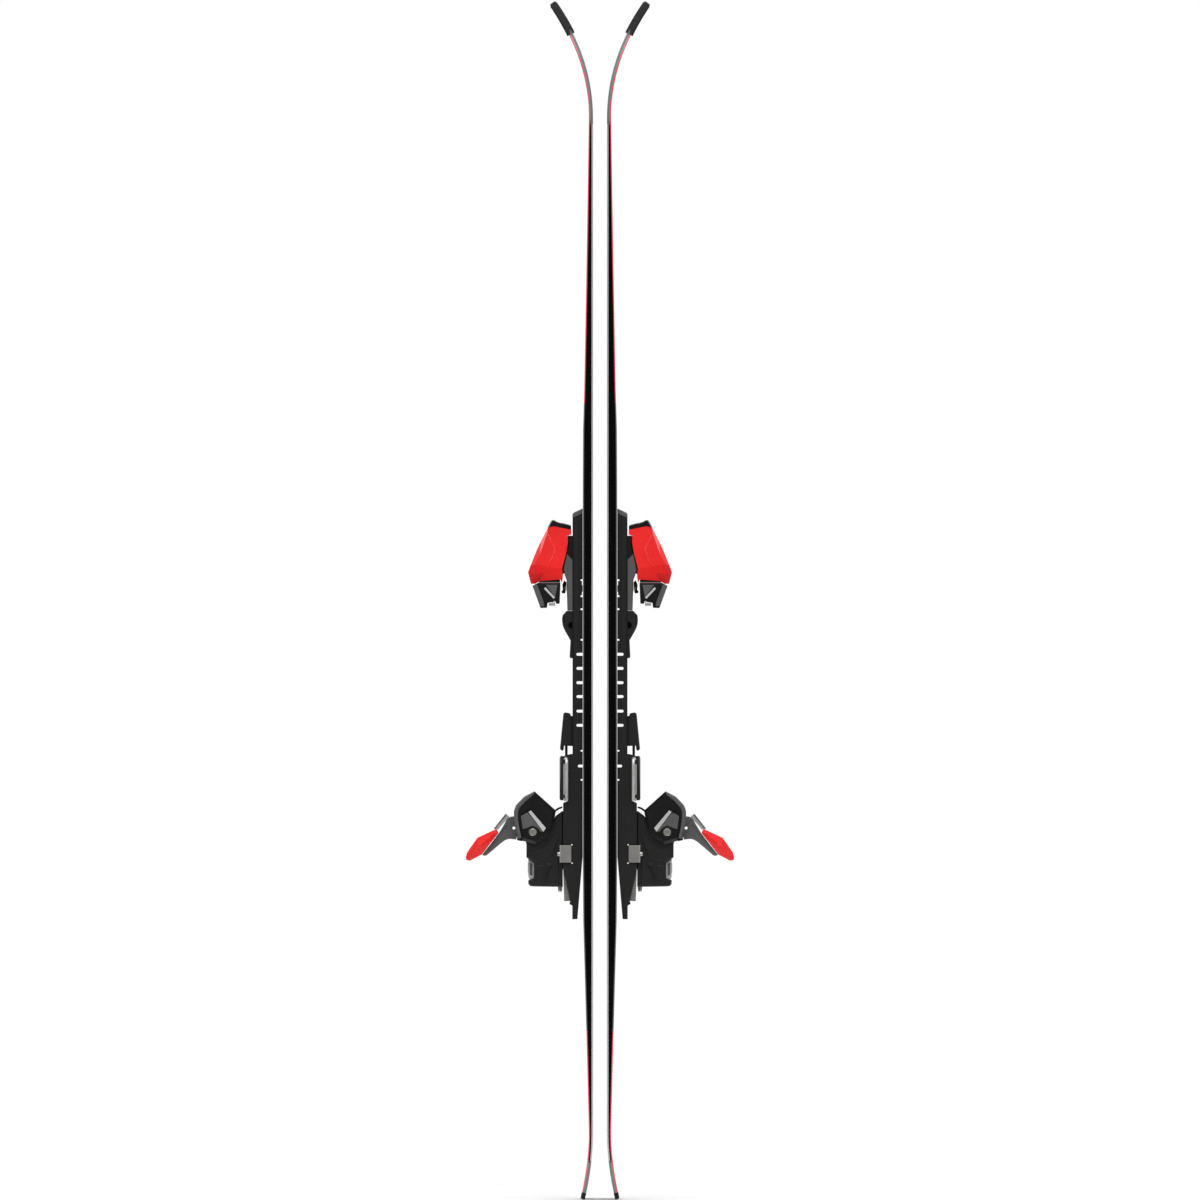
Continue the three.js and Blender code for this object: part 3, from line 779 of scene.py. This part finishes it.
# -------- toe piece
def add_toe_base():
    grey = [(28, 880), (36.2, 888.6), (41.5, 866.3), (36.4, 852.3), (35.3, 810.1), (28, 810.1)]
    place("toe_base", beveled(chamfered(grey, 33, 2.5, 1.2), 0.5), "ski", "grey_plastic", ["toe_base"])
    wedge = [(28, 913), (34.4, 913.6), (33.4, 901.3), (36.0, 888.5), (28, 879.8)]
    place("toe_wedge", beveled(chamfered(wedge, 31, 2, 0.8), 0.4), "ski", "gloss_black")
    hook = [(36.8, 849), (39.6, 852), (42.2, 846), (41.6, 838.5), (43.6, 836.4), (42.6, 834), (38.6, 833.6),
            (37.6, 837), (38.8, 841)]
    place("toe_hook", beveled(prism(hook, -15, 15), 0.4), "ski", "gloss_black")
    tongue = [(36.6, 836), (38.4, 840), (38.2, 846), (36.6, 850)]
    place("toe_tongue", beveled(prism(tongue, -12, 12), 0.3), "ski", "red_plastic")


TOE_AXIS = (51, 0)  # height and width of the release spring and its screw
FLANK_HALF, FLANK_TAPER_FROM, FLANK_TAPER = 35, 870, 0.13


def housing_side(at):
    """Half width of the toe housing's flat flank: it narrows towards the front."""
    return FLANK_HALF - FLANK_TAPER * max(0, at - FLANK_TAPER_FROM)


# Corners of the toe housing's silhouette: height, distance and half width there, None where it is the flank's.
HOUSING_RIM = [
    (30.0, 921.4, None), (30.0, 914.9, None), (34.8, 913.6, None), (34.6, 903.2, None), (37.0, 889.6, None),
    (42.6, 867.6, None), (41.4, 857.4, 34.4), (42.8, 848.2, 33.4), (45, 852.8, 34.6), (73.3, 850.8, 31.5),
    (79.5, 847, 27), (85.4, 847, 22), (89.5, 862.9, 24.5), (85.8, 872.9, 25), (77.8, 892.4, 25), (71.6, 905.8, 23),
    (62, 924.4, 20), (54.4, 926.2, None),
]
# Corners inside the side face, where its facets meet.
HOUSING_CREASES = [
    (62.6, 917.6, None), (73, 888, None), (80.6, 873.6, 33), (79.6, 860, 32), (67.8, 861.6, 35),
]
# Faces of the side by their corners: r for a rim corner, c for a crease.
HOUSING_FACES = [
    "r0 r17 r16 c0 c1 c2 r5 r4 r3 r2 r1", "r5 c2 c3 c4 r9 r8 r6", "r8 r7 r6", "c0 r16 r15 c1",
    "c1 r15 r14 r13 c2", "c2 r13 r12 c3", "c3 r12 r11", "c4 c3 r11 r10 r9",
]
HOUSING_RIDGE = [(62.4, 915.6), (52.4, 892.4), (59.4, 874.4)]


def symmetric_body(rim, inner, side_faces):
    """A closed body from one side's corners: the sides are mirror images, and strips across join their rims."""
    points = []
    for turn in (1, -1):
        points += [(h, turn * y, s) for h, s, y in [*rim, *inner]]
    offset = len(rim) + len(inner)
    index = {f"r{i}": i for i in range(len(rim))} | {f"c{i}": len(rim) + i for i in range(len(inner))}
    faces = [[index[name] for name in face.split()] for face in side_faces]
    faces += [[i + offset for i in reversed(face)] for face in faces]
    for i in range(len(rim)):
        after = (i + 1) % len(rim)
        faces.append([i, after, after + offset, i + offset])
    return mesh_of(points, faces)


def flank_ridge(path, half, rise):
    """A low ridge with a sharp back, laid on the toe housing's flank along a side path."""
    rings = []
    for i, corner in enumerate(path):
        before, after = Vector(path[max(i - 1, 0)]), Vector(path[min(i + 1, len(path) - 1)])
        across = (after - before).normalized().orthogonal() * half
        ring = []
        for turn, lift in ((-1, -0.1), (0, rise), (1, -0.1), (0, -1.5)):
            h, s = Vector(corner) + across * turn
            ring.append((h, housing_side(s) + lift, s))
        rings.append(ring)
    return skinned(rings)


def add_toe_housing():
    rim, creases = ([(h, s, housing_side(s) if half is None else half) for h, s, half in corners]
                    for corners in (HOUSING_RIM, HOUSING_CREASES))
    body = symmetric_body(rim, creases, HOUSING_FACES)
    bore = rod("z", 7.6, 840, 940, TOE_AXIS)
    place("toe_housing", beveled(cut(body, bore), 0.45, 2, 7), "ski", "red_plastic", ["toe_housing"], smooth=12)
    place("toe_ridge", mirrored_pair(flank_ridge(HOUSING_RIDGE, 1.0, 0.55)), "ski", "red_plastic", smooth=12)
    collar = block((45.4, 74.6), (-28.5, 28.5), (849.1, 854))
    place("toe_collar", beveled(cut(collar, rod("z", 7.4, 840, 900, TOE_AXIS)), 0.3), "ski", "gloss_black")
    glass = [(73.2, 902.8), (77.9, 892.8), (81.8, 883.4), (79.4, 882.4), (71.0, 901.6)]
    filler = [(33, 913), (36.5, 912), (36.5, 903), (39, 890), (44.4, 867.6), (43.4, 858), (39.5, 862),
              (34, 889), (31, 902)]
    place("toe_filler", prism(filler, -20, 20), "ski", "gloss_black")
    place("toe_scale", beveled(prism(glass, -5, 5), 0.3), "ski", "light_grey")


def add_nose_cap():
    outline = [(61.2, 922.8), (62.4, 924.8), (60.4, 928.9), (57.8, 933.4), (56.0, 934.8), (53.6, 934.6),
               (49.5, 932.4), (45.1, 930.9), (39.2, 930.1), (31.5, 927.8), (30.2, 926.6), (30.2, 920.4),
               (54.4, 924.8)]
    cap = cut(chamfered(outline, 21.5, 6, 1.4), rod("z", 5.6, 900, 950, TOE_AXIS))
    place("nose_cap", beveled(cap, 0.8, 3), "ski", "gloss_black", ["toe_nose_cap"])


def wing_part(outline, plan, bevel):
    """A body with one outline from the side and one from above."""
    return beveled(overlap(plan_prism(plan, 20, 110), prism(outline, *WIDE)), bevel)


def add_jaws():
    for letter, turn in (("a", 1), ("b", -1)):
        jaw = "toe_jaw_" + letter

        def plan(points):
            return [(turn * y, s) for y, s in points]

        wing = plan([(3, 838), (3, 848.9), (38.5, 848.9), (41.8, 847.2), (42, 830), (40.6, 814.5), (36, 813.5),
                     (33, 822), (27, 831), (20, 836)])
        profile = [(83.4, 844.2), (74.5, 849), (44.8, 849.1), (46, 819.7), (50.5, 819.3), (52.3, 823.4),
                   (62.7, 820.6), (63.4, 813.9), (72.2, 813.5)]
        place(jaw, wing_part(profile, wing, 0.7), jaw, "gloss_black", [jaw])

        skin = plan([(38, 846), (43.1, 845.4), (43.4, 830), (42.4, 816), (38, 816)])
        panel = [(66.2, 847), (48.2, 848.4), (52.2, 828.6)]
        place(jaw + "_panel", wing_part(panel, skin, 0.3), jaw, "grey_plastic")
        bar = [(67.6, 840.2), (65.4, 842.4), (52.2, 828.2), (54.2, 826.2)]
        place(jaw + "_bar", wing_part(bar, skin, 0.3), jaw, "light_grey")
        crest = [(83.5, 844.2), (77.2, 846.6), (68.2, 823), (66.8, 816.4), (72, 814)]
        place(jaw + "_ridge", wing_part(crest, skin, 0.5), jaw, "grey_plastic")

        roller = turned([(52.4, 2.4), (53.2, 3.0), (59.9, 3.0), (60.7, 2.4)], "x", (turn * 38.4, 819.6))
        place(jaw + "_roller", beveled(roller, 0.2), jaw, "steel")


def add_toe_rest():
    outline = [(28, 744.5), (31.6, 745), (32.2, 747), (31.1, 769.1), (38.6, 782.3), (39.0, 783), (39.0, 806.6),
               (37.6, 808.8), (35.4, 809.8), (28, 809.8)]
    recess = merged(*[rod("y", 4.6, *span, (29.6, 790)) for span in spans(16, 34)])
    body = cut(chamfered(outline, 30, 1.5, 0.8), recess)
    place("toe_rest", beveled(body, 0.6), "ski", "black_plastic", ["toe_rest"])
    pad = [(39.06, 783.4), (40.4, 785.8), (41.9, 790.6), (42.6, 796), (42.6, 800.6), (41.8, 803.8),
           (39.06, 806.9)]
    grooves = [block((42.0, 44), (-22, 22), (at, at + 1)) for at in (793.5, 796.5, 799.5)]
    place("glide_pad", beveled(cut(chamfered(pad, 27, 1.2, 0.4), *grooves), 0.35), "glide_pad", "glide_plastic",
          ["glide_pad"])


def add_toe_screw():
    head = screw_head("z", 5, 924.6, 929.4, TOE_AXIS)
    shaft = rod("z", 2.6, 853, 924.8, TOE_AXIS)
    place("toe_screw", merged(head, shaft), "toe_screw", "steel", ["toe_screw"])


def add_springs():
    toe, heel = coil(5.6, 1.1, 862, 914, 7, TOE_AXIS[0]), coil(6.2, 1.2, 438, 484, 6, HEEL_AXIS[0])
    place("toe_spring", toe, "ski", "steel", ["toe_spring"], smooth=60)
    place("heel_spring", heel, "heel", "steel", ["heel_spring"], smooth=60)


# -------- heel piece
AXLE = (82.9, 505.2)  # height and distance of the cup's axle
HEEL_AXIS = (62, 0)  # height and width of the release spring and its screw


def add_rail():
    outline = [(31.5, 410.3), (39.7, 410), (41.2, 454), (41.2, 540), (36.5, 540), (36.5, 436)]
    teeth = [block((40.2, 44), (-6, 6), (at, at + 2.4)) for at in range(446, 536, 6)]
    grooves = [prism([(33, 405), (40.6, 405), (40.6, 448)], *span) for span in spans(9, 12)]
    place("heel_rail", beveled(cut(prism(outline, -22, 22), *teeth, *grooves), 0.3), "ski", "steel", ["heel_rail"])


def add_saddle():
    low, high = cad("heel_block")
    tunnel = block((0, 41.6), (-31.5, 31.5), (400, 560))
    body = cut(block((low.x, 45.3), (-35, 35), (low.z, high.z)), tunnel)
    place("heel_block", beveled(body, 0.6), "heel", "steel", ["heel_block"])
    screws = [screw_head("x", 3.4, 45.3, 49.4, (turn * 31.3, 475)) for turn in (-1, 1)]
    place("saddle_screws", merged(*screws), "heel", "steel")


def raised_pair(outline, low, edge, high, slope, bevel):
    """A raised field on both sides: upright from low to edge, then sloping in by slope up to high."""
    field = loft([(low, outline), (edge, outline), (high, inset(outline, slope))])
    return beveled(mirrored_pair(field), bevel)


def add_heel_body():
    outline = [
        (41.7, 429.7), (82.6, 430.4), (86.6, 431.0), (88.8, 433.6), (89.3, 438.4), (81.4, 441.6), (81.4, 462.7),
        (91.7, 470.5), (91.7, 488), (93.5, 497), (95.9, 505.2), (92.1, 514.4), (82.9, 518.2), (70, 521),
        (62, 519), (58, 512), (53.6, 523), (51.5, 527.2), (43.2, 533.6), (41.21, 533.8), (41.21, 455),
        (41.7, 453),
    ]
    saddle_room = block((40, 45.6), WIDE, (463.2, 487.2))
    screw_bore, spring_bore = rod("z", 7.2, 400, 436, HEEL_AXIS), rod("z", 8.2, 434, 490, HEEL_AXIS)
    body = cut(chamfered(outline, 27, 2.4, 1.4), saddle_room, rod("y", 5.4, *WIDE, AXLE), screw_bore, spring_bore)
    place("heel_body", beveled(body, 0.6), "heel", "black_plastic", ["heel_body"])

    shoulder = [(47, 505), (56, 498), (64, 489), (74, 480.5), (88, 477), (88.4, 471), (78.5, 464), (66, 466),
                (56, 474), (49.5, 489)]
    flank = [(47.6, 470), (56.6, 462), (64, 462), (62.4, 433), (47, 432.4)]
    rear = [(68, 460), (78.8, 459), (78.8, 436), (70, 433), (66.6, 434)]
    for name, panel in (("heel_shoulder", shoulder), ("heel_flank", flank), ("heel_rear", rear)):
        place(name, raised_pair(panel, 26, 27.4, 28.2, 1.0, 0.25), "heel", "black_plastic")

    vent = [(50.6, 465.4), (57.2, 460.6), (61.2, 456.8), (64.8, 442.4), (60.2, 449.8), (57.6, 455.2)]
    place("heel_vent", beveled(mirrored_pair(prism(vent, 27, 28.3)), 0.2), "heel", "gloss_black")
    window = [(89.2, 468.4), (80.6, 462.4), (80.6, 441.2), (87.2, 438.8), (89.2, 444.6)]
    place("heel_window", beveled(chamfered(window, 19, 2, 0.8), 0.4), "heel", "light_grey")
    shade = [(87.4, 463.4), (83.6, 461.6), (83.6, 445.2), (87.4, 446.6)]
    place("heel_window_shade", beveled(mirrored_pair(prism(shade, 18, 19.6)), 0.3), "heel", "grey_plastic")
    lens = [(89.7, 463), (88.7, 463), (88.7, 449), (89.7, 449)]
    place("heel_window_lens", beveled(prism(lens, -10, 10), 0.3), "heel", "gloss_black")
    lock = screw_head("z", 2.8, 423, 429.8, (45.4, 12), -1)
    place("heel_lock_screw", lock, "heel", "steel")


def add_heel_screw():
    head, shaft = screw_head("z", 6.4, 430.4, 434.6, HEEL_AXIS, -1), rod("z", 3, 434.4, 488, HEEL_AXIS)
    place("heel_screw", merged(head, shaft), "heel_screw", "steel", ["heel_screw"])


CUP = [
    (80.4, 560.8), (51, 534.4), (55.1, 511.9), (63.6, 497.9), (78.4, 487.9), (93.1, 492.2), (98.8, 493.6),
    (108.5, 523.1), (108.5, 534.4), (105.8, 541.4), (94.5, 553.4),
]


def add_cup():
    inner = inset(CUP, 4.2)
    body = loft([(-36, inner), (-31.5, CUP), (31.5, CUP), (36, inner)])
    room = [(57, 527.7), (84, 552), (96, 541), (100, 534), (100, 527), (120, 527), (120, 470), (40, 470),
            (40, 520)]
    heel_pocket = rod("x", 26, 30, 79, (0, 574))
    field = [(67.3, 530.7), (77.5, 543.4), (101.0, 531.6), (99.0, 503), (92.4, 497.4), (78.4, 494.4),
             (66, 501.6), (59.6, 512.5)]
    sunk = [(100.4, 529), (86.6, 538.2), (60.4, 509.2), (66, 499.2), (76.4, 502), (84, 509.6), (97.4, 504.4)]
    sinks = [prism(shape, *span) for shape, depth in ((field, 35.2), (sunk, 34.0)) for span in spans(depth, 40)]
    shell = cut(body, prism(room, -27.9, 27.9), rod("y", 5.4, *WIDE, AXLE), heel_pocket, *sinks)
    place("heel_cup", beveled(shell, 0.55), "heel_cup", "gloss_black", ["heel_cup"])

    plate = [(99.4, 527.4), (90.0, 532.4), (69.6, 506.8), (71.4, 505.0), (76.6, 511.2), (83.3, 514.2),
             (90.6, 511), (96.8, 509.2)]
    place("cup_inset", raised_pair(plate, 33.6, 35.0, 35.4, 0.4, 0.2), "heel_cup", "grey_plastic")
    bar = [(88.9, 532.9), (85.6, 535.3), (64.8, 510.8), (68.4, 505.6)]
    place("cup_bar", raised_pair(bar, 33.6, 35.6, 35.9, 0.3, 0.2), "heel_cup", "light_grey")
    ring = cut(turned([(33.5, 7.9), (35.6, 7.9), (36.1, 7.3)], "y", AXLE), rod("y", 5.4, 20, 50, AXLE))
    place("cup_boss", beveled(mirrored_pair(ring), 0.2), "heel_cup", "gloss_black")

    band = [(80.8, 561), (94.8, 553.7), (103, 545.4), (106.4, 541.4), (108.9, 534.6), (108.9, 523),
            (105.8, 508), (102.2, 495.6), (98.4, 497.4), (101.0, 509), (103.4, 523.6), (103.2, 533.2),
            (101.4, 538.4), (92.0, 548.8), (81.0, 557.4)]
    place("cup_rim", raised_pair(band, 31, 36.4, 37.3, 1.6, 0.5), "heel_cup", "grey_plastic")
    web = [(97.6, 492.6), (104.8, 494.2), (104.2, 500), (103.4, 507), (99.6, 504)]
    place("cup_web", beveled(mirrored_pair(prism(web, 28.2, 33)), 0.4), "heel_cup", "gloss_black")
    treadle = [(42.1, 540.6), (48, 538.8), (51.6, 536.4), (56.5, 531.4), (54.4, 529.8), (50.6, 533.8),
               (46.5, 536.6), (42.1, 538.2)]
    place("cup_treadle", beveled(prism(treadle, -21, 21), 0.5), "heel_cup", "gloss_black")


def add_axle():
    shaft = rod("y", 5.3, -35.6, 35.6, AXLE)
    heads = [screw_head("y", 5.1, *span, AXLE, turn) for turn, span in zip((-1, 1), spans(36.0, 37.9))]
    place("heel_axle", merged(shaft, *heads), "heel", "steel", ["heel_axle"])


def add_lever():
    arm = [
        (104, 500.5), (102.5, 520), (105, 525.2), (108.8, 526.8), (113.6, 526.2), (117, 524.4), (119.4, 521.8),
        (122, 516.5), (126.5, 508.9), (130, 503.1), (141, 488.6), (152.6, 474.2), (151.2, 472.9),
        (149, 472.4), (146.3, 473.2), (126.5, 490.1), (122.8, 492.9), (119.7, 494.6), (116.6, 495.5),
        (113.6, 495.7), (106.1, 494.8),
    ]
    fork = block((95, 112), (-9, 9), (490, 516))
    hollow = [(117, 514), (125, 502), (143, 481.4), (146.6, 478), (137, 491.6), (124, 509), (119.6, 514.6)]
    hollows = [prism(hollow, *span) for span in spans(19.2, 30)]
    body = cut(chamfered(arm, 20, 1.6, 0.7), rod("y", 2.1, *WIDE, (109.0, 510.6)), fork, *hollows)
    place("heel_lever", beveled(body, 0.5), "heel_lever", "grey_plastic", ["heel_lever"])

    stiffener = [(119.3, 529.9), (121, 529.2), (136.2, 510.2), (133.4, 508.6), (129.6, 509.2), (127, 513.4),
                 (122.8, 517.6), (119.0, 522.6), (114.6, 525.4)]
    lip = [(119.3, 530.0), (121.2, 529.3), (136.4, 510.2), (135.2, 509.2), (120.4, 527.4)]
    place("lever_stiffener", beveled(prism(stiffener, -16, 16), 0.25), "heel_lever", "steel", finish="zinc")
    place("lever_stiffener_lip", beveled(mirrored_pair(prism(lip, 14.6, 17)), 0.3), "heel_lever", "grey_plastic")


# The pad's corners and faces, as those of the toe housing.
PAD_RIM = [(132.9, 509.5, 19), (130.2, 503.6, 20), (138, 493.8, 22), (153.0, 474.4, 21), (169.6, 465.6, 17),
           (174.4, 466.8, 15), (175.2, 470.4, 14.5), (173.4, 477.2, 15), (162.2, 493.2, 16), (159.6, 497.0, 17)]
PAD_CREASES = [(137.0, 503.8, 23.4), (157.4, 484.8, 24), (171.0, 469.8, 18.5)]
PAD_FACES = ["r0 c0 r1", "r1 c0 c1 r2", "r2 c1 c2 r3", "r3 c2 r4", "r4 c2 r5", "r5 c2 r6", "r6 c2 r7",
             "r7 c2 c1 r8", "r8 c1 r9", "r9 c1 c0 r0"]


def add_pad():
    body = symmetric_body(PAD_RIM, PAD_CREASES, PAD_FACES)
    start, end = Vector((158.6, 496)), Vector((174.6, 473))
    ribs = []
    for share in (0.2, 0.38, 0.56, 0.74):
        h, s = start.lerp(end, share)
        ribs.append(prism([(h - 1.1, s - 1.5), (h + 3, s + 1.2), (h + 3.6, s + 0.2), (h - 0.5, s - 2.4)], -11, 11))
    place("lever_pad", beveled(cut(body, *ribs), 0.5, 2, 7), "heel_lever", "red_plastic", ["lever_pad"], smooth=12)


# -------- brake
PIVOT = (36.8, 606)  # height and distance


def add_brake():
    arm_at, bend, end = 39, 7, 548
    quarter = [(arm_at - bend + bend * math.sin(a), PIVOT[1] - bend + bend * math.cos(a))
               for a in (math.pi / 2 * i / 8 for i in range(9))]
    half = quarter + [(arm_at, s) for s in (590, 575, 560, end)]
    path = [(PIVOT[0], -y, s) for y, s in reversed(half)] + [(PIVOT[0], y, s) for y, s in half]
    place("brake_arms", tube(path, 2.85), "brake", "steel", ["brake_arms"], smooth=50, finish="zinc")

    blade = [(40.3, 609.6), (44.6, 609.8), (46, 607), (46, 551), (44.8, 549.2), (41, 548.8), (40.3, 549.6),
             (40.3, 552), (39.2, 552.6), (39.2, 556), (40.3, 556.6), (40.3, 600), (39.2, 600.6), (39.2, 604.6),
             (40.3, 605.4)]
    body = chamfered(blade, 3.4, 1, 0.5)
    body.transform(Matrix.Translation((0, 39.4 * MM, 0)))
    place("brake_blades", beveled(mirrored_pair(body), 0.5), "brake", "black_plastic")

    scuff = [(43.6, 608.4), (45.2, 608.4), (45.6, 606), (45.6, 562), (44.4, 580)]
    place("brake_scuffs", mirrored_pair(prism(scuff, 42.4, 43.0)), "brake", "grey_plastic")

    outline = [
        (28.22, 664.7), (30.6, 665.2), (31.8, 668.7), (38.6, 669.9), (40.9, 668.1), (44.9, 626.5), (45.5, 619.6),
        (42.7, 616.9), (40.4, 618.5), (39.8, 624.2), (28.22, 623.6),
    ]
    grooves = []
    for at in (632, 638, 644, 650, 656):
        top = 40.9 + (668.1 - at) * 4.0 / 41.6  # on the pedal's sloping face
        grooves.append(block((top - 1.0, top + 4), (-21, 21), (at, at + 1.4)))
    pin_holes = [rod("y", 1.6, *span, (35.6, 664.2)) for span in spans(25, 30)]
    pedal = cut(chamfered(outline, 26, 1.6, 0.8), *grooves, *pin_holes)
    place("brake_pedal", beveled(pedal, 0.45), "brake", "black_plastic", ["brake_pedal"])
    strut = block((35, 38.6), (-17.6, 17.6), (606, 626))
    hub = rod("y", 4.7, -17.6, 17.6, PIVOT)
    bore = rod("y", 3.0, *WIDE, PIVOT)
    place("brake_strut", beveled(cut(joined(strut, hub), bore), 0.4), "brake", "black_plastic")


# -------- light and floor
WORLD_LIGHT, WORLD_MIRRORED = 0.3, 0.24
LIT_SPOT = (0, 0, 0.8)
# Place, width and height in metres, and power in watts.
PANELS = {
    "left_panel": ((-2.6, -1.8, 2.2), 1.8, 2.4, 30),
    "right_panel": ((2.6, -1.8, 2.2), 1.8, 2.4, 30),
    "front_panel": ((0, -4.0, 5.5), 4.4, 4.4, 176),
    "back_left_panel": ((-2.4, 2.6, 2.2), 3.0, 3.0, 45),
    "back_right_panel": ((2.4, 2.6, 2.2), 3.0, 3.0, 45),
    "top_panel": ((0, 0, 4.2), 3.0, 3.0, 60),
}


def add_light(name, location, width, height, power):
    data = bpy.data.lights.new(name, "AREA")
    data.shape = "RECTANGLE"
    data.size, data.size_y = width, height
    data.energy = power
    light = new_object(name, data)
    light.location = location
    light.rotation_euler = (Vector(LIT_SPOT) - Vector(location)).to_track_quat("-Z", "Y").to_euler()


def add_studio():
    """A white background to the camera, dimmer as light and in reflections; panels of light; a white floor."""
    world = bpy.data.worlds.new("studio")
    bpy.context.scene.world = world
    world.use_nodes = True
    tree = world.node_tree
    background = tree.nodes["Background"]
    path = tree.nodes.new("ShaderNodeLightPath")
    mirrored = tree.nodes.new("ShaderNodeMapRange")
    mirrored.inputs["To Min"].default_value = WORLD_LIGHT
    mirrored.inputs["To Max"].default_value = WORLD_MIRRORED
    seen = tree.nodes.new("ShaderNodeMapRange")
    seen.inputs["To Max"].default_value = 1.0
    background.inputs["Color"].default_value = (1, 1, 1, 1)
    tree.links.new(path.outputs["Is Glossy Ray"], mirrored.inputs["Value"])
    tree.links.new(mirrored.outputs["Result"], seen.inputs["To Min"])
    tree.links.new(path.outputs["Is Camera Ray"], seen.inputs["Value"])
    tree.links.new(seen.outputs["Result"], background.inputs["Strength"])

    for name, panel in PANELS.items():
        add_light(name, *panel)

    bpy.ops.mesh.primitive_circle_add(vertices=96, radius=1.0, fill_type="NGON", location=(0, 0, -0.0005))
    floor = bpy.context.object
    floor.name = "floor"
    n = Nodes("floor")
    n.color(n.ramp(n.noise(0.8, 2), [(0.3, (0.87, 0.87, 0.87)), (0.7, (0.9, 0.9, 0.9))]))
    n.set(Roughness=0.9, Specular_IOR_Level=0.1)
    floor.data.materials.append(n.material)

    bpy.context.scene.view_settings.view_transform = "Standard"


# -------- everything
add_camera()
add_studio()
ski_layers()
add_guards()
add_plate()
add_toe_base()
add_toe_housing()
add_nose_cap()
add_jaws()
add_toe_rest()
add_toe_screw()
add_springs()
add_rail()
add_saddle()
add_heel_body()
add_heel_screw()
add_cup()
add_axle()
add_lever()
add_pad()
add_brake()
